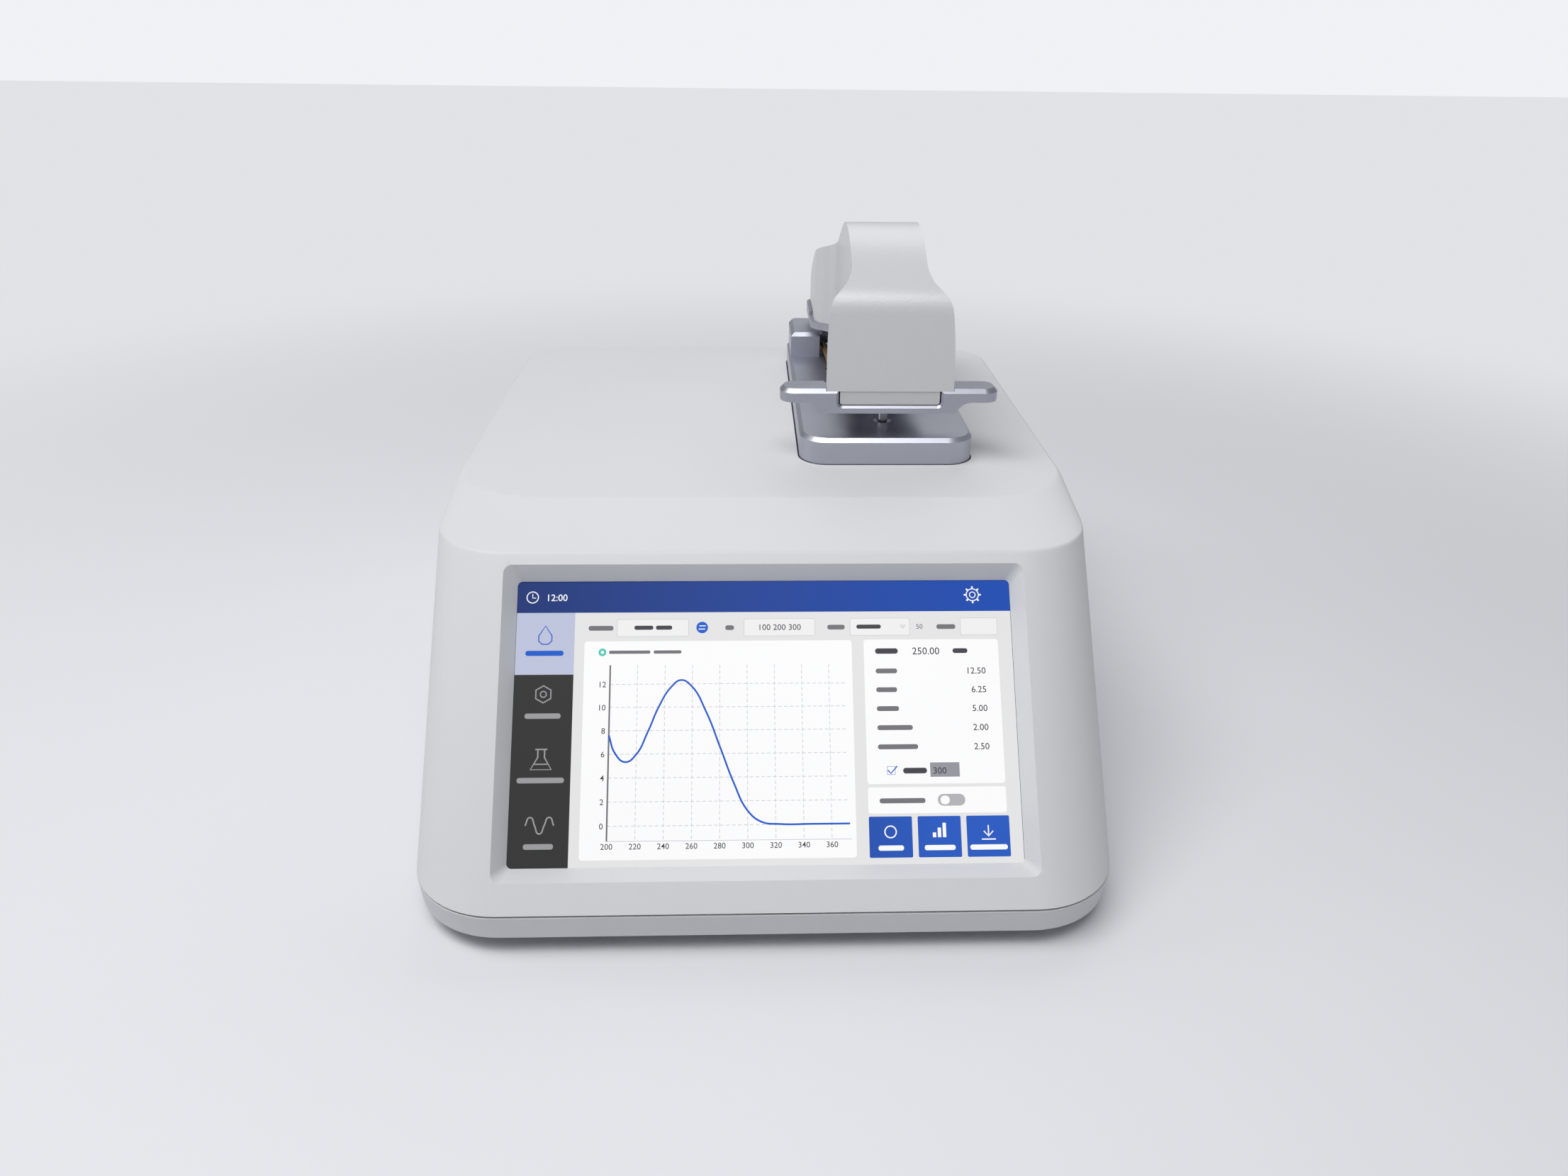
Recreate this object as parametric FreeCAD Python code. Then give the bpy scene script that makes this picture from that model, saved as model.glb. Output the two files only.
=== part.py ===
"""Bench-top micro-volume spectrophotometer with a leaning touch screen and a swing-up optical arm.

Millimetres. Inside the script x runs to the right, y runs back from the front edge of the
housing and z runs up from the table. Each piece is a solid of its own. On export the whole
instrument is shifted so that the origin lies on the table, midway along its depth.
"""
import FreeCAD, Part
import math
import os

Vector = FreeCAD.Vector

# ---------------------------------------------------------------- driving dimensions
BODY_WIDTH = 212.0           # width at the joint between the two mouldings
BODY_DEPTH = 290.0
FOOT_HEIGHT = 5.0
JOINT_Z = 14.0               # parting line of the housing
BROW_Z = 97.3                # top edge of the leaning screen face
BROW_SETBACK = 69.0
TOP_Z = 103.6                # flat top of the housing
TOP_SETBACK = 98.9
SIDE_DRAFT = 0.9             # degrees
BASE_TUCK = 0.7              # the bottom moulding narrows this much down to its floor
BASE_EDGE = 1.3              # bevel around its underside
CORNER_R_BASE = 28.0
CORNER_R_BROW = 25.0
CORNER_R_TOP = 30.0
CORNER_R_REAR = 21.6
BROW_EDGE_R = 2.5            # softening of the edge above the screen
TOP_EDGE_R = 1.2             # softening of the rim around the flat top
RIM_STEPS = 3
WALL = 2.6
JOINT_GAP = 0.7              # shadow line between the mouldings
LIP_THICKNESS = 1.6
LIP_HEIGHT = 2.6
FIT = 0.2                    # clearance where mouldings and boards slot together

SCREEN_WIDTH = 152.6         # visible glass of the 7-inch display
SCREEN_HEIGHT = 86.3
SCREEN_UP_SLOPE = 56.9       # centre of the glass, measured up the leaning face
SCREEN_RECESS = 5.0
SCREEN_BEVEL_SIDE = 3.7      # how much wider each side of the recess is at the face
SCREEN_BEVEL_HEIGHT = 4.15
SCREEN_CORNER_R = 1.5
GASKET_THICKNESS = 0.5
GLASS_WIDTH = SCREEN_WIDTH + 8.4
GLASS_HEIGHT = SCREEN_HEIGHT + 8.7
GLASS_THICKNESS = 1.6
LCD_WIDTH = GLASS_WIDTH + 3.0
LCD_HEIGHT = GLASS_HEIGHT + 3.0
LCD_THICKNESS = 4.0
BRACKET_THICKNESS = 1.2
BRACKET_STANDOFF = 3.0
BOARD_THICKNESS = 1.6

PLINTH_X = BODY_WIDTH / 2 - 61.7    # centre line of plinth and arm
PLINTH_WIDTH = 61.6
PLINTH_FRONT = BODY_DEPTH - 161.0
PLINTH_LENGTH = 144.0
PLINTH_RISE = 9.4            # above the housing's top
PLINTH_SINK = 9.6            # below it, down to the optics frame
PLINTH_CORNER_R = 9.8
PLINTH_CHAMFER = 1.4
PLINTH_WALL = 5.0
PLINTH_ROOF = 6.5
PLINTH_GAP = 0.5             # slot between plinth and housing

ARM_GAP = 12.6               # plinth top to the underside of the arm
ARM_PLATE_THICKNESS = 3.8
HINGE_Y = PLINTH_FRONT + PLINTH_LENGTH - 14.0
HINGE_HEIGHT = 5.3           # axis above the plinth top
SHAFT_DIA = 4.0
SHAFT_FIT = 0.03             # radial running fit of the bushes on the shaft
BUSH_WALL = 1.0
BUSH_LENGTH = 8.0
KNUCKLE_RADIUS = 4.6
KNUCKLE_WIDTH = 31.6
EAR_OUTER_SPAN = 60.4        # over both hinge blocks
EAR_WIDTH = 12.3
EAR_FRONT = HINGE_Y - 21.4
EAR_LENGTH = 28.7
EAR_HEIGHT = 10.3
EAR_CHAMFER = 1.5
EAR_CORNER_R = 3.5
STOP_HEIGHT = 1.8
STOP_LENGTH = 5.0

HANDLE_WIDTH = 76.0
HANDLE_FRONT = PLINTH_FRONT + 2.0
HANDLE_DEPTH = 12.2
WING_THICKNESS = 4.6
HANDLE_DROP = 3.9            # the middle hangs this much below the wings
HANDLE_MIDDLE_WIDTH = 46.1
HANDLE_COVE_R = 6.26
HANDLE_TIP_R = 5.0
HANDLE_CHAMFER = 1.4
NOTCH_WIDTH = 35.7
NOTCH_DEPTH = 5.9
NOTCH_CORNER_R = 1.4
NOTCH_CHAMFER = 0.8
TONGUE_CLEARANCE = 0.5
TONGUE_SETBACK = 0.3         # the hood's tongue lies this far behind its front
LEDGE_WIDTH = 28.0
LEDGE_LENGTH = 14.0

HOOD_WIDTH = 44.2
HOOD_WAIST = 26.2
HOOD_REAR_WIDTH = 42.4
HOOD_WALL = 2.2
HOOD_FRONT = HANDLE_FRONT + 0.6
HOOD_FRONT_STRAIGHT = 2.4    # full width runs back this far before the waist begins
HOOD_FRONT_BEND = 17.6
HOOD_BEND_SHARE = 0.37       # part of that bend's radii that the outer, front arc has
HOOD_WAIST_END = HINGE_Y - 45.0
HOOD_REAR_BEND = 14.0
HOOD_BACK = HINGE_Y + 4.5
HOOD_REAR_R = 7.0
CREST_HEIGHT = 48.8          # crest above the hood's lower edge
HOOD_LEAN_RUN = 6.0          # the hood's front leans back this far ...
HOOD_LEAN_RISE = 25.3        # ... over this height
SHOULDER_R = 14.8
SHOULDER_TURN = 46.7         # degrees
HOOD_CURVE_LENGTH = 131.9
HOOD_BACK_CURVE = [          # over that length: distance behind the hood's front, drop below the crest
    (28.5, 4.7), (38.4, 1.4), (48.5, 0.0), (59.0, 1.9), (71.5, 7.0), (80.5, 11.2), (92.0, 16.9),
    (106.5, 23.2), (119.5, 30.2), (127.5, 38.0), (131.4, 46.0),
]
LOBE_FRONT = HINGE_Y - 47.0           # the chassis steps up here to carry the hood's wide rear
LOBE_RISE = 2.0
LOBE_THICKNESS = 2.8
REAR_RIM_HEIGHT = 1.2        # upstand behind the hood
REAR_RIM_THICKNESS = 1.3
RIM_START = HINGE_Y - 21.0
PLATE_OUTSET = 0.5

PIN_Y = PLINTH_FRONT + 21.3
PIN_DIA = 3.3
PIN_TIP_DEPTH = 3.0          # how far the pin's tip reaches below the plinth top
PIN_HOLE_DIA = 4.2
PIN_COUNTERSINK_DIA = 6.6
PLUNGER_DIA = 3.0
PLUNGER_LENGTH = 40.0
PLUNGER_GAP = 0.1
MOTOR_DIA = 20.0
MOTOR_HEIGHT = 24.0
MOTOR_WALL = 2.0
ROTOR_GAP = 0.3

PEDESTAL_Y = PLINTH_FRONT + 51.0
PEDESTAL_DISC_DIA = 14.0
PEDESTAL_STEM_DIA = 9.0
PEDESTAL_POST_DIA = 4.0
PEDESTAL_RISE = 2.0          # lower post above the plinth top
SAMPLE_GAP = 1.0             # liquid column between the two posts
FIBRE_DIA = 2.4
FIBRE_BEND = 10.0
LEAD_BEND = 2.2

FRAME_THICKNESS = 4.0
FRAME_MARGIN = 5.0
FRAME_LEG_DIA = 9.0
FRAME_SCREW_DIA = 3.8
BOARD_TOP_Z = 26.0
PANEL_WIDTH = 156.0
PANEL_HEIGHT = 52.0
PANEL_BOTTOM_Z = 21.0
PANEL_LAP = 4.0
PANEL_THICKNESS = 1.5
VENT_WIDTH = 2.5
VENT_LENGTH = 28.0
VENT_PITCH = 6.0
VENTS_IN_ROW = 12
VENT_ROWS = (150.0, 190.0)
FOOT_DIA = 18.0
FOOT_SCREW_DIA = 3.0
FOOT_INSET_X = 24.0
FOOT_INSET_FRONT = 34.0
FOOT_INSET_REAR = 30.0

# ---------------------------------------------------------------- worked-out places
SHELL_FLOOR_Z = FOOT_HEIGHT + WALL
PLINTH_TOP = TOP_Z + PLINTH_RISE
PLINTH_BASE = TOP_Z - PLINTH_SINK
PLINTH_BACK = PLINTH_FRONT + PLINTH_LENGTH
POCKET_ROOF = PLINTH_TOP - PLINTH_ROOF
ARM_Z = PLINTH_TOP + ARM_GAP
HOOD_Z = ARM_Z + ARM_PLATE_THICKNESS
HINGE_Z = PLINTH_TOP + HINGE_HEIGHT
FRAME_Z = PLINTH_BASE - FRAME_THICKNESS
WING_TOP = ARM_Z + WING_THICKNESS
HANDLE_BACK = HANDLE_FRONT + HANDLE_DEPTH
LEDGE_Z = ARM_Z - HANDLE_DROP
LOBE_TOP = HOOD_Z + LOBE_RISE
LOBE_BASE = LOBE_TOP - LOBE_THICKNESS
PANEL_OUTER_Y = BODY_DEPTH - WALL
EAR_TOP = PLINTH_TOP + EAR_HEIGHT

PIECES = {}


# ---------------------------------------------------------------- general helpers
def box(x0, x1, y0, y1, z0, z1):
    return Part.makeBox(x1 - x0, y1 - y0, z1 - z0, Vector(x0, y0, z0))


def rod(x, y, z0, z1, dia):
    """Upright cylinder."""
    return Part.makeCylinder(dia / 2, z1 - z0, Vector(x, y, z0))


def rod_x(y, z, x0, x1, dia):
    return Part.makeCylinder(dia / 2, x1 - x0, Vector(x0, y, z), Vector(1, 0, 0))


def rod_y(x, z, y0, y1, dia):
    return Part.makeCylinder(dia / 2, y1 - y0, Vector(x, y0, z), Vector(0, 1, 0))


def join(shapes):
    whole = shapes[0]
    for other in shapes[1:]:
        whole = whole.fuse(other)
    return whole.removeSplitter()


def group(shapes):
    """Several loose solids kept in one node, such as a set of like screws."""
    return Part.makeCompound(shapes)


def corner_arc(cx, cy, radius, start, z):
    points = []
    for angle in (start, start + 45, start + 90):
        turn = math.radians(angle)
        points.append(Vector(cx + radius * math.cos(turn), cy + radius * math.sin(turn), z))
    return Part.Arc(*points).toShape()


def rounded_wire(x, half, front, back, r_front, r_back, z):
    """Rounded rectangle in plan, centred on x, with its own radii at front and back."""
    arcs = [
        corner_arc(x + half - r_front, front + r_front, r_front, -90, z),
        corner_arc(x + half - r_back, back - r_back, r_back, 0, z),
        corner_arc(x - half + r_back, back - r_back, r_back, 90, z),
        corner_arc(x - half + r_front, front + r_front, r_front, 180, z),
    ]
    edges = []
    for index, arc in enumerate(arcs):
        following = arcs[(index + 1) % 4]
        edges.append(arc)
        edges.append(Part.makeLine(arc.Vertexes[1].Point, following.Vertexes[0].Point))
    return Part.Wire(edges)


def slab(x, half, front, back, radius, z0, z1):
    wire = rounded_wire(x, half, front, back, radius, radius, z0)
    return Part.Face(wire).extrude(Vector(0, 0, z1 - z0))


def ring_plate(x, half, front, back, radius, width, z0, z1):
    """Rounded frame of constant width."""
    inside = slab(x, half - width, front + width, back - width, radius - width, z0 - 1, z1 + 1)
    return slab(x, half, front, back, radius, z0, z1).cut(inside)


def turned(x, y, profile):
    """Solid of revolution about an upright axis from (radius, z) corners."""
    points = [Vector(radius, 0, z) for radius, z in profile]
    points.append(points[0])
    solid = Part.Face(Part.makePolygon(points)).revolve(Vector(0, 0, 0), Vector(0, 0, 1), 360)
    solid.translate(Vector(x, y, 0))
    return solid


def routed_tube(points, bend, dia):
    """Round fibre along straight runs joined by bends of one radius."""
    places = [Vector(*point) for point in points]
    edges = []
    start = places[0]
    for before, corner, after in zip(places, places[1:], places[2:]):
        arriving = (corner - before).normalize()
        leaving = (after - corner).normalize()
        half_turn = arriving.getAngle(leaving) / 2
        reach = bend * math.tan(half_turn)
        first = corner - arriving * reach
        last = corner + leaving * reach
        middle = corner + (leaving - arriving).normalize() * (bend / math.cos(half_turn) - bend)
        edges.append(Part.makeLine(start, first))
        edges.append(Part.Arc(first, middle, last).toShape())
        start = last
    edges.append(Part.makeLine(start, places[-1]))
    circle = Part.Circle(places[0], (places[1] - places[0]).normalize(), dia / 2)
    return Part.Wire(edges).makePipe(Part.Face(Part.Wire(circle.toShape())))


def pan_screw(x, y, seat_z, head_dia, head_height, shank_dia, shank_length, up):
    """Screw with its head on seat_z. Its shank points up for up = 1 and down for up = -1."""
    head = Part.makeCylinder(head_dia / 2, head_height, Vector(x, y, seat_z), Vector(0, 0, -up))
    socket = Part.makeCylinder(
        head_dia / 4, head_height * 0.6, Vector(x, y, seat_z - up * head_height), Vector(0, 0, up)
    )
    shank = Part.makeCylinder(shank_dia / 2, shank_length, Vector(x, y, seat_z), Vector(0, 0, up))
    return join([head.cut(socket), shank])


def edges_where(shape, test):
    """Edges for which test(middle point) holds."""
    chosen = []
    for edge in shape.Edges:
        middle = edge.valueAt((edge.FirstParameter + edge.LastParameter) / 2)
        if test(middle):
            chosen.append(edge)
    return chosen


def near(value, target, slack=0.01):
    return abs(value - target) < slack


def solid_of(shape):
    """The one solid inside a shape that a cut or a fuse has wrapped."""
    return shape.Solids[0]


# ---------------------------------------------------------------- housing
def half_width(z):
    if z < JOINT_Z:
        return BODY_WIDTH / 2 - BASE_TUCK * (JOINT_Z - z) / (JOINT_Z - FOOT_HEIGHT)
    return BODY_WIDTH / 2 - (z - JOINT_Z) * math.tan(math.radians(SIDE_DRAFT))


def unit(start, end):
    length = math.hypot(end[0] - start[0], end[1] - start[1])
    return (end[0] - start[0]) / length, (end[1] - start[1]) / length


FACE_DIR = unit((0, JOINT_Z), (BROW_SETBACK, BROW_Z))        # up the leaning face, in (y, z)
BROW_DIR = unit((BROW_SETBACK, BROW_Z), (TOP_SETBACK, TOP_Z))
TOP_DIR = (1.0, 0.0)
FACE_LENGTH = math.hypot(BROW_SETBACK, BROW_Z - JOINT_Z)


def moved_corner(corner, before, after, inset):
    """Where a corner of the side profile goes when both faces beside it move inwards."""
    n1 = (before[1], -before[0])
    n2 = (after[1], -after[0])
    scale = inset / (1 + n1[0] * n2[0] + n1[1] * n2[1])
    return corner[0] + scale * (n1[0] + n2[0]), corner[1] + scale * (n1[1] + n2[1])


def body_wire(z, front, radius, inset):
    return rounded_wire(
        0, half_width(z) - inset, front, BODY_DEPTH - inset, radius - inset, CORNER_R_REAR - inset, z
    )


def low_wire(z, inset):
    """Section of the body between its floor and the brow, moved inwards by inset."""
    lean = (z - JOINT_Z) * FACE_DIR[0] / FACE_DIR[1]
    if z < JOINT_Z and inset == 0:
        lean = BASE_TUCK * (JOINT_Z - z) / (JOINT_Z - FOOT_HEIGHT)
    share = max(0.0, (z - JOINT_Z) / (BROW_Z - JOINT_Z))
    radius = CORNER_R_BASE + share * (CORNER_R_BROW - CORNER_R_BASE)
    return body_wire(z, lean + inset / FACE_DIR[1], radius, inset)


def hollow_form(bottom, inset):
    """The housing's form moved inwards, from bottom up to the underside of its roof."""
    brow = moved_corner((BROW_SETBACK, BROW_Z), FACE_DIR, BROW_DIR, inset)
    top = moved_corner((TOP_SETBACK, TOP_Z), BROW_DIR, TOP_DIR, inset)
    wires = [
        low_wire(bottom, inset),
        body_wire(brow[1], brow[0], CORNER_R_BROW, inset),
        body_wire(top[1], top[0], CORNER_R_TOP, inset),
    ]
    return Part.makeLoft(wires, True, True)


def outer_form(bottom):
    """The housing's outer form, with a soft brow and a softened rim around the flat top."""
    reach = BROW_EDGE_R * math.tan((math.atan2(*FACE_DIR) - math.atan2(*BROW_DIR)) / -2)
    low = (BROW_SETBACK - reach * FACE_DIR[0], BROW_Z - reach * FACE_DIR[1])
    high = (BROW_SETBACK + reach * BROW_DIR[0], BROW_Z + reach * BROW_DIR[1])
    wires = [low_wire(bottom, 0)]
    for share in (0.0, 0.33, 0.67, 1.0):
        keep = 1 - share
        y = keep * keep * low[0] + 2 * keep * share * BROW_SETBACK + share * share * high[0]
        z = keep * keep * low[1] + 2 * keep * share * BROW_Z + share * share * high[1]
        wires.append(body_wire(z, y, CORNER_R_BROW, 0))
    for step in range(RIM_STEPS + 1):
        turn = math.pi / 2 * step / RIM_STEPS
        inset = TOP_EDGE_R * (1 - math.cos(turn))
        z = TOP_Z - TOP_EDGE_R * (1 - math.sin(turn))
        front = TOP_SETBACK - (TOP_Z - z) * BROW_DIR[0] / BROW_DIR[1]
        wire = rounded_wire(
            0, half_width(z) - inset, front, BODY_DEPTH - inset, CORNER_R_TOP, CORNER_R_REAR - inset, z
        )
        wires.append(wire)
    return Part.makeLoft(wires, True, True)


def on_face(shape, up_slope, depth=0.0):
    """Carry a shape from the x-y plane onto the leaning face. Its z then points outwards."""
    lean = math.degrees(math.atan2(FACE_DIR[1], FACE_DIR[0]))
    y = up_slope * FACE_DIR[0] + depth * FACE_DIR[1]
    z = JOINT_Z + up_slope * FACE_DIR[1] - depth * FACE_DIR[0]
    placed = shape.copy()
    turn = FreeCAD.Rotation(Vector(1, 0, 0), lean)
    placed.Placement = FreeCAD.Placement(Vector(0, y, z), turn).multiply(placed.Placement)
    return placed


def flat_rect(width, height, radius, z0, z1):
    """Rounded plate centred on the origin, for use on the leaning face."""
    return slab(0, width / 2, -height / 2, height / 2, radius, z0, z1)


BRACKET_WIDTH = LCD_WIDTH + 10.0
BRACKET_HEIGHT = LCD_HEIGHT
BEZEL_HEIGHT = GLASS_HEIGHT + 2.0
DISPLAY_BOSS_DIA = 4.0
SMALL_SCREW_DIA = 1.8
MOTOR_FLANGE = 1.5
DISPLAY_BOSS_X = LCD_WIDTH / 2 + DISPLAY_BOSS_DIA / 2 + 0.4
DISPLAY_BOSS_V = 30.0
GASKET_DEPTH = SCREEN_RECESS
GLASS_DEPTH = GASKET_DEPTH + GASKET_THICKNESS
LCD_DEPTH = GLASS_DEPTH + GLASS_THICKNESS
BRACKET_DEPTH = LCD_DEPTH + LCD_THICKNESS
DISPLAY_BOSSES = [(side * DISPLAY_BOSS_X, level * DISPLAY_BOSS_V) for side in (-1, 1) for level in (-1, 1)]
TOWER_DIA = 8.0
TOWER_FOOT_Z = 20.0
TOWERS = [(side * (BODY_WIDTH / 2 - 14.0), y) for side in (-1, 1) for y in (26.0, BODY_DEPTH - 22.0)]
SCREW_PILOT_DIA = 2.6
TOWER_SCREW_DIA = 3.0
FRAME_LEGS = [
    (PLINTH_X + side * (PLINTH_WIDTH / 2 - 1.0), y)
    for side in (-1, 1)
    for y in (PLINTH_FRONT + 1.0, PLINTH_BACK - 3.0)
]
BOARD_X0 = -85.0
BOARD_X1 = 6.0
BOARD_SCREW_DIA = 2.6
BOARD_Y0 = 112.0
BOARD_Y1 = PANEL_OUTER_Y - PANEL_THICKNESS - 1.0
BOARD_POSTS = [(x, y) for x in (BOARD_X0 + 6, BOARD_X1 - 6) for y in (BOARD_Y0 + 8, 200.0, BOARD_Y1 - 22)]
POWER_X0 = -88.0
POWER_X1 = -32.0
POWER_Y0 = 56.0
POWER_Y1 = 98.0
POWER_TOP_Z = 17.0
POWER_POSTS = [(x, y) for x in (POWER_X0 + 5, POWER_X1 - 5) for y in (POWER_Y0 + 5, POWER_Y1 - 5)]
FEET = [
    (side * (BODY_WIDTH / 2 - FOOT_INSET_X), y)
    for side in (-1, 1)
    for y in (FOOT_INSET_FRONT, BODY_DEPTH - FOOT_INSET_REAR)
]
PLINTH_HALF = PLINTH_WIDTH / 2


def screen_recess():
    """Bevelled well in front of the glass, carried out past the face."""
    overshoot = 1.0
    reach = (SCREEN_RECESS + overshoot) / SCREEN_RECESS
    half = SCREEN_WIDTH / 2
    tall = SCREEN_HEIGHT / 2
    outer_half = half + SCREEN_BEVEL_SIDE * reach
    outer_tall = tall + SCREEN_BEVEL_HEIGHT * reach
    inner = rounded_wire(0, half, -tall, tall, SCREEN_CORNER_R, SCREEN_CORNER_R, -SCREEN_RECESS)
    outer = rounded_wire(
        0, outer_half, -outer_tall, outer_tall, SCREEN_CORNER_R * 2, SCREEN_CORNER_R * 2, overshoot
    )
    return Part.makeLoft([inner, outer], True, True)


def make_upper_housing():
    bottom = JOINT_Z + JOINT_GAP / 2
    outer = outer_form(bottom)
    shell = outer.cut(hollow_form(bottom - 2, WALL))
    bezel = flat_rect(BRACKET_WIDTH, BEZEL_HEIGHT, 2.0, -SCREEN_RECESS, -WALL / 2)
    additions = [on_face(bezel, SCREEN_UP_SLOPE).common(outer)]
    for x, v in DISPLAY_BOSSES:
        boss = rod(x, v, -BRACKET_DEPTH, -WALL / 2, DISPLAY_BOSS_DIA)
        additions.append(on_face(boss, SCREEN_UP_SLOPE).common(outer))
    for x, y in TOWERS:
        additions.append(rod(x, y, TOWER_FOOT_Z, TOP_Z, TOWER_DIA).common(outer))
    body = join([shell] + additions)
    cuts = [on_face(screen_recess(), SCREEN_UP_SLOPE)]
    gap_half = PLINTH_HALF + PLINTH_GAP
    cuts.append(
        slab(
            PLINTH_X, gap_half, PLINTH_FRONT - PLINTH_GAP, PLINTH_BACK + PLINTH_GAP,
            PLINTH_CORNER_R + PLINTH_GAP, TOP_Z - 2 * WALL, TOP_Z + 1,
        )
    )
    panel_half = PANEL_WIDTH / 2 - PANEL_LAP
    cuts.append(
        box(
            -panel_half, panel_half, BODY_DEPTH - WALL - 1, BODY_DEPTH + 1,
            PANEL_BOTTOM_Z + PANEL_LAP, PANEL_BOTTOM_Z + PANEL_HEIGHT - PANEL_LAP,
        )
    )
    for x, y in TOWERS:
        cuts.append(rod(x, y, TOWER_FOOT_Z - 1, TOWER_FOOT_Z + 10, SCREW_PILOT_DIA))
    for x, v in DISPLAY_BOSSES:
        hole = rod(x, v, -BRACKET_DEPTH - 1, -BRACKET_DEPTH + 4, SMALL_SCREW_DIA)
        cuts.append(on_face(hole, SCREEN_UP_SLOPE))
    for cut in cuts:
        body = body.cut(cut)
    PIECES["upper_housing"] = solid_of(body)


def make_bottom_shell():
    top = JOINT_Z - JOINT_GAP / 2
    floor_wire = body_wire(FOOT_HEIGHT, BASE_TUCK + BASE_EDGE, CORNER_R_BASE, BASE_EDGE)
    outer = Part.makeLoft([floor_wire, low_wire(FOOT_HEIGHT + BASE_EDGE, 0), low_wire(top, 0)], True, True)
    cavity = Part.makeLoft([low_wire(SHELL_FLOOR_Z, 2 * WALL), low_wire(top + 1, 2 * WALL)], True, True)
    lip_inset = WALL + FIT
    lip_top = JOINT_Z + LIP_HEIGHT
    lip_low = JOINT_Z - 2 * JOINT_GAP
    lip_outer = Part.makeLoft([low_wire(lip_low, lip_inset), low_wire(lip_top, lip_inset)], True, True)
    lip_inner_inset = lip_inset + LIP_THICKNESS
    lip_inner = Part.makeLoft(
        [low_wire(lip_low - 1, lip_inner_inset), low_wire(lip_top + 1, lip_inner_inset)], True, True
    )
    bodies = [outer.cut(cavity), lip_outer.cut(lip_inner)]
    floor = SHELL_FLOOR_Z - 0.5
    for x, y in TOWERS:
        bodies.append(rod(x, y, floor, TOWER_FOOT_Z, TOWER_DIA + 1))
    for x, y in FRAME_LEGS:
        bodies.append(rod(x, y, floor, TOWER_FOOT_Z, FRAME_LEG_DIA + 2))
    for x, y in BOARD_POSTS:
        bodies.append(rod(x, y, floor, BOARD_TOP_Z - BOARD_THICKNESS, 6.0))
    for x, y in POWER_POSTS:
        bodies.append(rod(x, y, floor, POWER_TOP_Z - BOARD_THICKNESS, 6.0))
    for x, y in OPTICS_POSTS:
        bodies.append(rod(x, y, floor, OPTICS_FLOOR_Z, 7.0))
    for x, y in FEET:
        bodies.append(rod(x, y, floor, FOOT_HEIGHT + 8, 8.0))
    shell = join(bodies)
    for x, y in TOWERS:
        shell = shell.cut(rod(x, y, 0, TOWER_FOOT_Z + 1, TOWER_SCREW_DIA + 0.4))
        shell = shell.cut(rod(x, y, 0, FOOT_HEIGHT + 6, 6.4))
    for x, y in FRAME_LEGS:
        shell = shell.cut(rod(x, y, 0, TOWER_FOOT_Z + 1, 4.4))
        shell = shell.cut(rod(x, y, 0, FOOT_HEIGHT + 6, 7.6))
    for x, y in FEET:
        shell = shell.cut(rod(x, y, 0, FOOT_HEIGHT + 7, FOOT_SCREW_DIA))
    for x, y in BOARD_POSTS:
        shell = shell.cut(rod(x, y, BOARD_TOP_Z - 9, BOARD_TOP_Z, BOARD_SCREW_DIA))
    for x, y in POWER_POSTS:
        shell = shell.cut(rod(x, y, POWER_TOP_Z - 7, POWER_TOP_Z, BOARD_SCREW_DIA))
    first = -VENT_PITCH * (VENTS_IN_ROW - 1) / 2
    for y in VENT_ROWS:
        for index in range(VENTS_IN_ROW):
            x = first + index * VENT_PITCH
            slot = box(
                x - VENT_WIDTH / 2, x + VENT_WIDTH / 2, y - VENT_LENGTH / 2, y + VENT_LENGTH / 2, 0,
                SHELL_FLOOR_Z + 1,
            )
            shell = shell.cut(slot)
    PIECES["bottom_shell"] = solid_of(shell)


def make_feet():
    feet = []
    screws = []
    for x, y in FEET:
        r = FOOT_DIA / 2
        hole = FOOT_SCREW_DIA / 2
        foot = turned(
            x, y,
            [(hole, 1.6), (3.6, 1.6), (3.6, 0), (r - 1, 0), (r, 1), (r - 0.6, FOOT_HEIGHT),
             (hole, FOOT_HEIGHT)],
        )
        feet.append(foot)
        screws.append(pan_screw(x, y, 1.6, 6.4, 1.4, FOOT_SCREW_DIA, 9.0, 1))
    PIECES["feet"] = group(feet)
    PIECES["foot_screws"] = group(screws)


def make_housing_screws():
    seat = FOOT_HEIGHT + 6
    length = TOWER_FOOT_Z - seat + 9
    housing = [pan_screw(x, y, seat, 6.0, 2.4, SCREW_PILOT_DIA, length, 1) for x, y in TOWERS]
    frame = [pan_screw(x, y, seat, 7.0, 3.0, FRAME_SCREW_DIA, 19.0, 1) for x, y in FRAME_LEGS]
    frame += [pan_screw(x, y, FRAME_Z, 7.0, 3.0, FRAME_SCREW_DIA, 12.0, 1) for x, y in PLINTH_SCREWS]
    PIECES["housing_screws"] = group(housing)
    PIECES["frame_screws"] = group(frame)


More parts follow.
